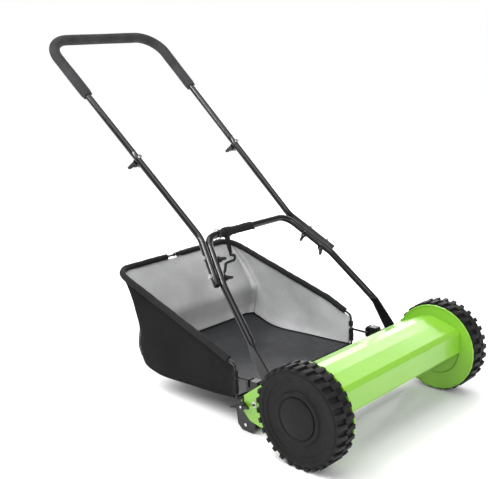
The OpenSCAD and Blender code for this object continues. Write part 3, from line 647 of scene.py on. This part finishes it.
def ring_gear(name, side):
    """The wheel's inner teeth, that drive the reel's pinion."""
    root, tip = 60.6, 55.5
    pitch = 2 * math.pi / GEAR_TEETH
    tooth = ((-0.5, root), (-0.2, root), (-0.1, tip), (0.1, tip), (0.2, root))

    def on_rim(r, turns):
        return r * math.cos(turns * pitch), WHEEL_R + r * math.sin(turns * pitch)

    teeth = [on_rim(r, i + share) for i in range(GEAR_TEETH) for share, r in tooth]
    outer = [on_rim(62.5, i + k / 5) for i in range(GEAR_TEETH) for k in range(5)]
    n = len(teeth)
    ends = (WHEEL_IN + 3, WHEEL_IN + 18.5)
    points = [(x * side, y, z) for x in ends for ring in (teeth, outer) for y, z in ring]
    faces = []
    for i in range(n):
        j = (i + 1) % n
        faces += [(i, j, n + j, n + i), (2 * n + i, 3 * n + i, 3 * n + j, 2 * n + j),
                  (i, 2 * n + i, 2 * n + j, j), (n + i, n + j, 3 * n + j, 3 * n + i)]
    return solid(name, points, faces, FINISHES["wheel_plastic"], sharp=25)


def hub_cap(name, side):
    u, r = WHEEL_IN + WHEEL_W - 4.6, 46
    turns = np.linspace(0.12, math.pi / 2, 16)
    dome = [(r * math.cos(a), u + 1.5 + 2.9 * math.sin(a)) for a in turns]
    outline = [(0, u + 0.4), (14, u + 0.4), (14, u + 0.1), (r, u + 0.1), (r, u + 1.3)]
    outline += [(r if r > 1e-6 else 0, x) for r, x in dome]
    outline[-1] = (0, outline[-1][1])
    return lathe(name, (0, WHEEL_R), outline, FINISHES["wheel_plastic"], side)


for word, side in SIDES.items():
    body = f"wheel_{word}"
    put(tyre(f"tread_{word}", side), body, "tread", f"tyre_{word}")
    put(wheel(f"rim_{word}", side), body, "wheel_plastic", f"wheel_{word}")
    put(hub_cap(f"cap_{word}", side), body, "wheel_plastic", f"hub_cap_{word}")


# ---------- deck cover ----------
def offset_line(line, t):
    """The line moved sideways by t, with mitred corners."""
    out = []
    for i, p in enumerate(line):
        before = (p - line[i - 1]).normalized() if i else (line[1] - p).normalized()
        after = (line[i + 1] - p).normalized() if i < len(line) - 1 else before
        n1, n2 = Vector((-before.y, before.x)), Vector((-after.y, after.x))
        mean = (n1 + n2).normalized()
        out.append(p + mean * (t / max(0.3, mean.dot(n1))))
    return out


HEMS = ((-71.2, 117.6), (98.4, 161.6))  # where the sheet's front and rear edges are rolled
DECK_TAB = [
    (-58, 150), (-58, 176), (-22, 187.5), (9, 194), (36, 189), (42, 186), (42, 160), (0, 151)
]


def deck_cover():
    reach = PLATE_IN - 0.2
    line = rounded([(y, z, 0) for y, z in DECK_LINE], (10, 8, 10, 7, 6), 8)
    line = [Vector((p.x, p.y)) for p in line]
    paint, sheet = FINISHES["green_paint"], 1.5
    outline = [tuple(p) for p in line + offset_line(line, sheet)[::-1]]
    shell = plate("shell", outline, -reach, reach, paint, 0.35)
    folds = []
    for y, z in HEMS:
        hem = [(-reach + 2, y, z), (0, y, z), (reach - 2, y, z)]
        folds.append(tube("hem", hem, sheet, paint, 12, 0.4))
    for side in (-1, 1):
        x = sorted(((reach - sheet) * side, reach * side))
        folds.append(plate("tab", DECK_TAB, *x, paint, 0.3))
    put(shell, "chassis", "green_paint", "deck_cover")
    for i, fold in enumerate(folds):
        fold.name = f"deck_fold_{i}"
        put(fold, "chassis", "green_paint")
    shell.name = "deck_shell"


deck_cover()


# ---------- handle ----------
def handle_tubes():
    steel = FINISHES["black_steel"]
    low = rounded(across([LOWER_END, LOWER_BEND, BAR_CORNER]), (60, 45, 45, 60), 12)
    main = tube("handle_low", evenly(low, 30), TUBE_R, steel, 24)
    straps = [lower_strap(side) for side in (1, -1)]
    put(joined("handle_low", [main, *straps]), "handle", "black_steel", "lower_tube")
    for word, side in SIDES.items():
        path = [flip(p, side) for p in rounded([JOINT_TOP, BEND_LOW, UPPER_END], (70,), 12)]
        put(tube(f"handle_mid_{word}", evenly(path, 30), TUBE_R, steel, 24, 2.5), "handle",
            "black_steel", f"upper_tube_{word}")
    top = rounded(across([JOINT_TOP + (CORNER_TOP - JOINT_TOP).normalized() * 0.8, CORNER_TOP]),
                  (GRIP_BEND, GRIP_BEND), 14)
    put(tube("handle_top", evenly(top, 30), TUBE_R, steel, 24, 0.6), "handle", "black_steel",
        "top_tube")


def lower_strap(side):
    """The flat strap that the lower tube's end is pressed into, down past the pivot."""
    d = (STRAP_TOP - PIVOT).normalized()
    n = Vector((d.y, -d.x))
    tail = PIVOT - 30 * d
    end_dir = (LOWER_END - LOWER_BEND).normalized()
    a = Vector((1, 0, 0)).cross(end_dir).normalized()
    b = end_dir.cross(a).normalized()
    wide = Vector((0, n.x, n.y))
    if a.dot(wide) < 0:
        a = -a
        b = -b
    if b.x < 0:
        b = -b
    thin = Vector((1, 0, 0))
    flat = Vector((STRAP_X, STRAP_TOP.x, STRAP_TOP.y))
    square = 0.28
    stations = []
    for k in range(7):
        t = k / 6
        ease = t * t * (3 - 2 * t)
        stations.append((
            LOWER_END.lerp(flat, t),
            a.lerp(wide, ease).normalized() * (TUBE_R + (11 - TUBE_R) * ease),
            b.lerp(thin, ease).normalized() * (TUBE_R + (2 - TUBE_R) * ease),
            1 - (1 - square) * ease,
        ))

    def pressed(p, half, thick=2):
        stations.append((Vector((STRAP_X, p.x, p.y)), wide * half, thin * thick, square))

    for t, half in ((0.25, 13), (0.5, 15), (0.75, 16.5), (1, 17)):
        pressed(STRAP_TOP.lerp(PIVOT, t), half)
    for t in (0.35, 0.7, 1):
        pressed(PIVOT.lerp(tail, t), 17 - 4 * t)
    for k in range(1, 6):
        turn = k / 5 * math.pi / 2
        pressed(tail - d * 13 * math.sin(turn), max(0.4, 13 * math.cos(turn)), 1.9)
    return lofted("strap", stations, side)


def lofted(name, stations, side, around=24):
    """A bar through stations of (centre, half width, half thickness, power).

    Power 1 is an ellipse and a low power nearly a rectangle.
    """
    points, faces = [], []
    for centre, u, v, power in stations:
        for k in range(around):
            c, s = math.cos(2 * math.pi * k / around), math.sin(2 * math.pi * k / around)
            across_u = math.copysign(abs(c) ** power, c)
            across_v = math.copysign(abs(s) ** power, s)
            points.append(flip(centre + u * across_u + v * across_v, side))
    for i in range(len(stations) - 1):
        for k in range(around):
            j = (k + 1) % around
            low, high = i * around, (i + 1) * around
            faces.append((low + k, low + j, high + j, high + k))
    last = (len(stations) - 1) * around
    faces += [tuple(range(around)), tuple(range(last, last + around))]
    return solid(name, points, faces, FINISHES["black_steel"], sharp=50)


def foam_grip():
    path = rounded(across([GRIP_START, CORNER_TOP]), (GRIP_BEND, GRIP_BEND), 14)
    path = evenly(path, 12)
    total = length_of(path)

    def radius(s, a):
        edge = min(s, total - s)
        swell = 0.35 * math.sin(s / 37) * math.sin(2 * a + s / 90)
        return GRIP_R - 0.4 + swell - 1.6 * max(0, 1 - edge / 5) ** 2

    grip = tube("grip", path, radius, FINISHES["foam"], 32, 1.0)
    put(grip, "handle", "foam", "foam_grip")


def wing_knob(name, place, along, turn, hub_r, hub_h, span, rise, t, finish):
    """A moulded knob with two pointed wings of thickness t; its own z runs along the bolt."""
    outline = [(0, 0), (hub_r, 0), (hub_r, 1.5), (hub_r * 0.95, 3), (hub_r * 0.8, hub_h * 0.85),
               (hub_r * 0.62, hub_h), (0, hub_h)]
    n, around = len(outline), 28
    points, faces = [], []
    for k in range(around):
        a = 2 * math.pi * k / around
        points += [(r * math.cos(a), r * math.sin(a), z) for r, z in outline]
        here, following = k * n, (k + 1) % around * n
        faces += [
            (here + i, following + i, following + i + 1, here + i + 1) for i in range(n - 1)
        ]
    for s in (-1, 1):
        wing = [
            (0.15 * hub_r, 1), (hub_r, 1), (span * 0.62, rise * 0.28), (span * 0.86, rise * 0.58),
            (span, rise), (span * 0.8, rise), (span * 0.58, rise * 0.92),
            (hub_r * 0.75, hub_h - 0.8), (0.15 * hub_r, hub_h - 0.6),
        ]
        first = len(points)
        m = len(wing)
        for side in (-1, 1):
            for x, z in wing:
                taper = t / 2 * (1 - 0.35 * max(0, (x - hub_r) / (span - hub_r)))
                points.append((s * x, side * taper, z))
        faces += [tuple(range(first, first + m)), tuple(range(first + m, first + 2 * m))]
        for i in range(m):
            near, far = first + i, first + (i + 1) % m
            faces.append((near, far, far + m, near + m))
    z = Vector(along).normalized()
    y = z.cross(Vector((1, 0, 0)))
    y = y.normalized() if y.length > 0.05 else Vector((0, 1, 0))
    x = y.cross(z)
    basis = Matrix((x, y, z)).transposed()
    spin = Matrix.Rotation(math.radians(turn), 3, "Z")
    points = [Vector(place) + basis @ (spin @ Vector(p)) for p in points]
    return softened(solid(name, points, faces, finish), 0.8, 2)


# hub radius and height, wing span and rise, wing thickness
TOP_KNOB = (9.5, 14, 20, 20, 9.5)
WING_NUT = (8.5, 10.5, 18, 15, 8.5)
HEIGHT_WING = (10, 11, 31, 17, 6)


def handle_fasteners():
    down = (BEND_LOW - JOINT_TOP).normalized()
    n = Vector((1, 0, 0)).cross(down).normalized()
    leg = (UPPER_END - BEND_LOW).normalized()
    outward = (Vector((1, 0, 0)) - leg * leg.x).normalized()
    depth = TUBE_GAP.x * outward.x + TUBE_R
    plastic = FINISHES["black_plastic"]
    turns = {"left": (100, 133), "right": (65, 57)}
    tops, lows, collars = [], [], []
    for word, side in SIDES.items():
        spot = flip(JOINT_TOP + 25 * down, side)
        away = flip(n, side)
        place = spot + away * (TUBE_R + 0.8)
        tops.append(wing_knob("top", place, away, 0, *TOP_KNOB, plastic))
        for share, turn in zip(BOLT_PLACES, turns[word]):
            place = flip(BEND_LOW + (UPPER_END - BEND_LOW) * share - outward * (depth + 0.2), side)
            inward = flip(-outward, side)
            lows.append(wing_knob("low", place, inward, turn * side, *WING_NUT, plastic))
        ring = [flip(JOINT_TOP + down * k, side) for k in (-1.2, -0.6, 0, 0.6, 1.2)]
        collars.append(tube("collar", ring, TUBE_R + 0.25, FINISHES["black_steel"], 24, 0.2))
    put(joined("knobs_top", tops), "handle", "black_plastic", "top_knobs")
    put(joined("knobs_low", lows), "handle", "black_plastic", "lower_wing_nuts")
    put(joined("handle_collars", collars), "handle", "black_steel")


def height_knobs():
    """The knobs that lock the roller's height, wings level, each with its bolt."""
    knobs, bolts = [], []
    y, z = HEIGHT_KNOB
    plastic, zinc = FINISHES["black_plastic"], FINISHES["zinc"]
    turns = np.arange(6) * math.pi / 3
    hexagon = [(y + 6.2 * math.cos(a), z + 6.2 * math.sin(a)) for a in turns]
    for side in (1, -1):
        place = ((PLATE_IN + 2.3) * side, y, z)
        knobs.append(
            wing_knob("height", place, (side, 0, 0), 90 - 11 * side, *HEIGHT_WING, plastic)
        )
        shank = [(x * side, y, z) for x in (234.5, 240, 257)]
        bolts.append(tube("bolt", shank, 3, zinc, 20, 0.6))
        bolts.append(plate("head", hexagon, *sorted((234 * side, 237.7 * side)), zinc, 0.5))
    put(joined("height_wings", knobs), "roller_carrier", "black_plastic", "height_knobs")
    put(joined("height_bolts", bolts), "roller_carrier", "zinc")


def bar_wrap():
    """Webbing wound round the bar, with its pointed tail."""
    y, z = BAR
    x0, x1 = WRAP_ENDS

    def radius(s, a):
        ends = max(0, 1 - min(s, x1 - x0 - s) / 4) ** 2
        seam = 0.7 * math.exp(-(((s / 25 + a / (2 * math.pi)) % 1 - 0.5) / 0.09) ** 2)
        return TUBE_R + 1.6 + seam * 0.8 + 0.25 * math.sin(s / 9 + 2 * a) - 1.0 * ends

    path = [Vector((x0 + 1.2 + (x1 - x0 - 2.4) * k / 60, y, z)) for k in range(61)]
    wrap = tube("wrap_cloth", path, radius, FINISHES["webbing"], 40, 0)
    put(wrap, "handle", "webbing", "bar_wrap")
    rows = []
    for k in range(7):
        t = k / 6
        width = 9 * (1 - t) ** 0.8 + 0.4
        angle = math.radians(-150 - 30 * t)
        r = TUBE_R + 3 + 5 * t
        middle = Vector((8 + 7 * t, y + r * math.cos(angle) * 0.6, z + r * math.sin(angle) - 9 * t))
        rows.append([middle + Vector((dx * width, 0, 0)) for dx in (-1, -0.5, 0, 0.5, 1)])
    tail = grid("wrap_tail", rows, FINISHES["webbing"], 1.1)
    put(tail, "handle", "webbing")


def hanger_strap():
    y, z = BAR
    r = TUBE_R + 3.2
    rows = []
    turns = np.linspace(0, 2 * math.pi, 41)
    for dx in (-10, -5, 0, 5, 10):
        rows.append([(STRAP_MIDDLE + dx, y + r * math.cos(a), z + r * math.sin(a)) for a in turns])
    band = grid("strap_loop", rows, FINISHES["webbing"], 1.6)
    rows = []
    for k in range(13):
        t = k / 12
        middle = STRAP_MIDDLE + 11 * t
        half = 9 - 4.4 * t**1.2 - (1.2 if 0.35 < t < 0.5 else 0)
        back, low = y - 0.4 + 1.2 * math.sin(t * math.pi), z - 4 - 53 * t
        rows.append([(middle + half * u, back, low) for u in (-1, -0.6, 0, 0.6, 1)])
    drop = grid("strap_drop", rows, FINISHES["webbing"], 3.2)
    for piece in (band, drop):
        softened(piece, 0.5)
    put(band, "hanger_hook", "webbing", "hanger_strap")
    put(drop, "hanger_hook", "webbing")
    s_hook(STRAP_MIDDLE + 11, y, z - 58.2)


def s_hook(x, y, low):
    """The bent hook below the strap's end."""
    hook = rounded(
        [(x + dx, y, low - drop) for dx, drop in
         ((0, 0), (0, 4), (16, 8), (14, 20), (-18, 22), (-22, 42), (-38, 54), (-26, 68))],
        (2, 5, 5, 6, 6, 7), 6,
    )
    length = length_of(hook)

    def radius(s, a):
        return 3.7 + 0.7 * math.exp(-(((s - length) / 6) ** 2)) + 0.4 * math.exp(-((s / 5) ** 2))

    put(tube("hook", evenly(hook, 3), radius, FINISHES["black_plastic"], 16), "hanger_hook",
        "black_plastic", "s_hook")


def eye(x, centre, r, start, end):
    """Part of a circle about x, its angles in degrees."""
    turns = np.radians(np.linspace(start, end, 40))
    return [Vector((x, centre[0] + r * math.cos(a), centre[1] + r * math.sin(a))) for a in turns]


def hanger_wire():
    """The wire between the catcher's rim and the bar, bent into an open eye at each end."""
    rear = (RIM_REAR.y, RIM_REAR.z)
    run = Vector((rear[0] - BAR[0], rear[1] - BAR[1])).normalized()
    top = math.degrees(math.atan2(run.x, -run.y))
    path = eye(-8, rear, 4.7, top - 320, top - 3)
    path += eye(WRAP_ENDS[0] - 3, BAR, 13.4, top + 177, top - 143)
    wire = tube("link_wire", path, 1.25, FINISHES["wire"], 12, 0.4)
    put(wire, "hanger_wire", "wire", "hanger_wire")


height_knobs()
handle_tubes()
foam_grip()
handle_fasteners()
bar_wrap()
hanger_strap()
hanger_wire()


# ---------- grass catcher ----------
RIM_HALF = [RIM_FRONT, RIM_MID, RIM_REAR]
REAR_EDGE = [  # the bag's rear corner, from the rim down to the tray
    Vector(p) for p in (
        (203, 681, 293), (208, 658, 272), (214, 635, 242), (220, 614, 206), (224.5, 597, 172),
        (225, 600, 145), (223.5, 606, 116), (217, 606, 87),
    )
]
LOW_EDGE = [  # the side's lower edge, from front to rear
    Vector(p) for p in (
        (225, 258, 67), (225, 272, 65.5), (225.5, 329, 61), (226, 412, 58.5), (226, 500, 54.5),
        (226, 545, 58), (225, 582, 69), (217, 606, 87),
    )
]


def smooth_line(points, count):
    """count points evenly along a smooth curve through the given ones."""
    ends = [points[0] * 2 - points[1], *points, points[-1] * 2 - points[-2]]
    fine = []
    for i in range(1, len(ends) - 2):
        p0, p1, p2, p3 = ends[i - 1 : i + 3]
        for k in range(16):
            t = k / 16
            fine.append(
                (p1 * 2 + (p2 - p0) * t + (p0 * 2 - p1 * 5 + p2 * 4 - p3) * t**2
                 + (p1 * 3 - p0 - p2 * 3 + p3) * t**3) * 0.5
            )
    fine.append(points[-1].copy())
    return evenly_spaced(fine, count)


def evenly_spaced(path, count):
    lengths = np.concatenate([[0], np.cumsum([(b - a).length for a, b in zip(path, path[1:])])])
    spots = np.linspace(0, lengths[-1], count)
    flat = np.array([tuple(p) for p in path])
    return [Vector(np.interp(s, lengths, flat[:, i]) for i in range(3)) for s in spots]


def patch(top, bottom, front, rear):
    """A smooth surface between four edges: top and bottom run rearwards, the others down."""
    n, m = len(top), len(front)
    rows = []
    for j in range(m):
        v = j / (m - 1)
        row = []
        for i in range(n):
            u = i / (n - 1)
            edge = top[i] * (1 - v) + bottom[i] * v + front[j] * (1 - u) + rear[j] * u
            corner = (top[0] * (1 - u) * (1 - v) + top[-1] * u * (1 - v)
                      + bottom[0] * (1 - u) * v + bottom[-1] * u * v)
            row.append(edge - corner)
        rows.append(row)
    return rows


def creased(rows, out, depth, seed):
    """Gives the cloth soft folds along the out direction; it stays put at its sewn edges."""
    rng = random.Random(seed)
    waves = [
        (rng.uniform(2, 7), rng.uniform(-1.5, 1.5), rng.uniform(0, 6.3), rng.uniform(0.3, 1))
        for _ in range(7)
    ]
    m, n = len(rows), len(rows[0])
    for j, row in enumerate(rows):
        v = j / (m - 1)
        for i, p in enumerate(row):
            u = i / (n - 1)
            hold = math.sin(math.pi * u) ** 0.6 * math.sin(math.pi * v) ** 0.6
            fold = sum(a * math.sin(math.pi * (f * u + g * v) + s) for f, g, s, a in waves) / 2.2
            row[i] = p + out * (depth * hold * fold)
    return rows


def rim_path():
    return rounded(across(RIM_HALF), (*RIM_BENDS, *RIM_BENDS[::-1]), 12)


def rim_top_edge(side, count):
    """Where the side's cloth leaves the sleeve, from the front to the rear corner."""
    half = rounded(RIM_HALF + [flip(RIM_REAR, -1)], RIM_BENDS, 16)
    keep = [p for p in half if p.x > 201.9]
    drop = Vector((0, 0, -SLEEVE_R + 2.5))
    line = [p + drop for p in keep]
    line[-1] = REAR_EDGE[0].copy()
    return [flip(p, side) for p in evenly_spaced(line, count)]


def side_panel(word, side):
    """One side of the bag, with its hem, corner seam and lower piping."""
    n, m = 61, 31
    top = rim_top_edge(side, n)
    bottom = [flip(p, side) for p in smooth_line(LOW_EDGE, n)]
    front_line = [top[0], top[0].lerp(bottom[0], 0.5) + Vector((0, -1.5, 0)), bottom[0]]
    front = smooth_line(front_line, m)
    rear = [flip(p, side) for p in smooth_line(REAR_EDGE, m)]
    rows = patch(top, bottom, front, rear)
    for j, row in enumerate(rows):
        v = j / (m - 1)
        for i, p in enumerate(row):
            u = i / (n - 1)
            belly = math.sin(math.pi * u) * math.sin(math.pi * min(1, v * 1.15))
            p.x -= side * 2.5 * belly
    creased(rows, Vector((side, 0, 0)), 1.6, 7 + side)
    # The inner face is painted pale grey, painted light for the light seen through the black mesh;
    # the outer face is the cloth's own black.
    finishes = [MESH_INSIDE_PAINTED_LIGHT, FINISHES["mesh_cloth"]]
    if side < 0:
        rows = [row[::-1] for row in rows]
    panel = grid(f"bag_side_{word}", rows, finishes, 1.2)
    put(panel, "catcher", "mesh_cloth", f"catcher_side_{word}")
    hem = hem_strip(f"bag_hem_{word}", [p + Vector((0, 0.5, 0)) for p in front], side)
    seam = [flip(p + Vector((1.6, 1.6, 0)), side) for p in smooth_line(REAR_EDGE, 40)]
    corner = tube(f"bag_corner_{word}", seam, 1.5, PIPING, 10)
    edge = [flip(p, side) for p in smooth_line(LOW_EDGE, 60)]
    low = tube(f"bag_piping_{word}", edge, 2.2, PIPING, 10)
    for piece in (hem, corner, low):
        put(piece, "catcher", "sleeve_cloth")


def hem_strip(name, line, side):
    """The double webbing sewn along the front edge."""
    rows = []
    for p in line:
        rows.append([p + Vector((side * 1.6, dy, 0)) for dy in (-2, 0, 5, 11, 12)])
    return grid(name, rows, PIPING, 2.2)


def rear_panel():
    n, m = 71, 37

    def edge(*half):
        line = smooth_line([Vector(p) for p in half], (n + 1) // 2)
        return line + [flip(p, -1) for p in reversed(line[:-1])]

    left = smooth_line(REAR_EDGE, m)
    top = edge(REAR_EDGE[0], (196, 688, 296), (180, 692, 296.5), (0, 692, 296.5))
    bottom = edge(REAR_EDGE[-1], (200, 613, 87), (150, 614, 86.5), (0, 614, 86.5))
    right = [flip(p, -1) for p in left]
    rows = patch(top, bottom, left, right)
    for j, row in enumerate(rows):
        v = j / (m - 1)
        for i, p in enumerate(row):
            u = i / (n - 1)
            p.y += 5 * math.sin(math.pi * u) ** 0.7 * math.sin(math.pi * v)
    creased(rows, Vector((0, 1, 0)), 2.2, 23)
    # The inner face is painted pale grey, painted light for the light seen through the mesh; the
    # outer face is the dark cloth.
    panel = grid("bag_rear", rows, [REAR_INSIDE_PAINTED_LIGHT, REAR_OUTSIDE], 1.2)
    put(panel, "catcher", "mesh_cloth", "catcher_rear")
    seam = tube("bag_rear_seam", [p + Vector((0, 0, 1.0)) for p in bottom], 2.6, PIPING, 10)
    put(seam, "catcher", "sleeve_cloth")


TRAY_LINE = (
    (253, 65.5), (330, 62), (409, 59.5), (497, 55.5), (550, 60), (587, 72), (614, 88)
)


def tray():
    """The stiff floor of the bag: coated board with a bound front edge, turned up at the rear."""
    corner, straight = 31, 193.5
    start, turned = TRAY_LINE[0][0], TRAY_LINE[-1][0] - corner
    rows = []
    for p in smooth_line([Vector((0, y, z)) for y, z in TRAY_LINE], 40):
        past = min(1, max(0, (p.y - turned) / corner))
        half = straight + corner * math.sqrt(1 - past * past)
        dip = 1.2 * math.sin((p.y - start) / 359 * math.pi)
        rows.append([
            Vector((half * u, p.y, p.z + 0.9 + 1.6 * abs(u) ** 6 - dip * (1 - u * u)))
            for u in np.linspace(-1, 1, 45)
        ])
    board = grid("tray", rows, FINISHES["tray_board"], 1.6)
    put(board, "catcher", "tray_board", "catcher_tray")
    front = tube("tray_front_binding", [p + Vector((0, -0.5, 0)) for p in rows[0]], 2.4, PIPING, 10)
    put(front, "catcher", "sleeve_cloth")
    round_it = [row[0] for row in rows] + rows[-1][1:-1] + [row[-1] for row in reversed(rows)]
    inset = [p + Vector((-math.copysign(1.2, p.x), -0.8, 1.2)) for p in round_it]
    edge = tube("tray_edge_binding", evenly_spaced(inset, 160), 1.9, PIPING, 8)
    put(edge, "catcher", "sleeve_cloth")


ARM_Z = 118


def catcher_wire():
    """The bent wire frame, with the two arms that rest in the hooks."""
    loop = across([Vector((0.02, ROD_FOOT.y, ROD_FOOT.z)), ROD_FOOT, *RIM_HALF])
    path = rounded(loop, (12, 14, *RIM_BENDS, *RIM_BENDS[::-1], 14, 12), 10)
    wire = tube("frame_wire", evenly(path, 20), WIRE_R, FINISHES["black_steel"], 16, 0)
    arms = []
    for side in (1, -1):
        arm = [(222.9, 246), (216, 235), (216, 190), (238.5, 190)]
        arm = rounded([(x, y, ARM_Z) for x, y in arm], (10, 7), 8)
        arms.append(tube("arm", [flip(p, side) for p in arm], WIRE_R, FINISHES["black_steel"], 16))
    put(joined("frame_wire", [wire, *arms]), "catcher", "black_steel", "catcher_frame")


def rim_sleeves():
    """Cloth sleeves gathered round the rim wire, with the notch for the clip."""
    path = evenly(rim_path(), 4)
    start = RIM_FRONT.lerp(RIM_MID, 0.22)
    inside = [p for p in path if p.y > start.y]
    runs = [[p for p in inside if p.x > NOTCH[1]], [p for p in inside if p.x < NOTCH[0]]]
    sleeves = []
    for run in runs:
        total = length_of(run)

        def radius(s, a, total=total):
            hem = math.exp(-((min(s, total - s) - 3) / 2.2) ** 2)
            gather = 0.35 * math.sin(s / 5.3 + 1.7 * math.sin(s / 31)) + 0.3 * math.sin(s / 17 + a)
            stitch = -0.5 * math.exp(-((a - 4.4) / 0.12) ** 2)
            return SLEEVE_R - 0.75 + gather * 0.8 + stitch - 0.5 * hem

        sleeves.append(tube("sleeve", run, radius, FINISHES["sleeve_cloth"], 32, 1.2))
    up = (RIM_FRONT - ROD_FOOT).normalized()
    for side in (1, -1):
        for low, high in ((80, 112), (122, 134)):
            rod = [ROD_FOOT + up * (z - ROD_FOOT.z) for z in np.linspace(low, high, 14)]
            rod = [flip(p, side) for p in rod]
            sleeves.append(tube("sleeve", rod, lambda s, a: 6.3 + 0.35 * math.sin(s / 3 + a),
                                FINISHES["sleeve_cloth"], 24, 0.8))
    sleeve = joined("rim_sleeve", sleeves)
    put(sleeve, "catcher", "sleeve_cloth", "catcher_rim")


def wire_clip():
    """The moulded clip that holds the wire's eye and the bar together."""
    y, z = RIM_REAR.y, RIM_REAR.z
    ring = [(3.2, 2.2), (7, 2.2), (7, 11.8), (3.2, 11.8)]
    collar = lathe("clip", (y, z), rounded_outline(ring, 0.7), FINISHES["black_plastic"], 1, 32)
    block = [(y - 3, z - 14), (y + 3, z - 14), (y + 3, z - 6.5), (y - 3, z - 6.5)]
    block = rounded_outline(block, 1.6)
    tongue = plate("tongue", block, 2.4, 11.6, FINISHES["black_plastic"], 0.5)
    put(collar, "catcher", "black_plastic", "wire_clip")
    put(tongue, "catcher", "black_plastic")
    collar.name, tongue.name = "clip_collar", "clip_tongue"


catcher_wire()
rim_sleeves()
tray()
for word, side in SIDES.items():
    side_panel(word, side)
rear_panel()
wire_clip()


# ---------- the CAD pieces that stay ----------
EDGE_WIDTHS = {
    "side_plate_left": 0.5, "side_plate_right": 0.5, "height_bracket_left": 0.8,
    "height_bracket_right": 0.8, "catcher_hook_left": 1.0, "catcher_hook_right": 1.0,
    "chassis_screws": 0.5, "handle_pivot_bolts": 0.6, "bracket_pivot_bolts": 0.6,
    "rear_roller": 0.9, "lower_bolts": 0.6, "top_bolts": 0.6, "knife_bar": 0.5,
    "handle_stop_pins": 0.5, "front_tie_rod": 0.4,
}
for name, width in EDGE_WIDTHS.items():
    softened(frame["nodes"][name], width)

camera()
studio()
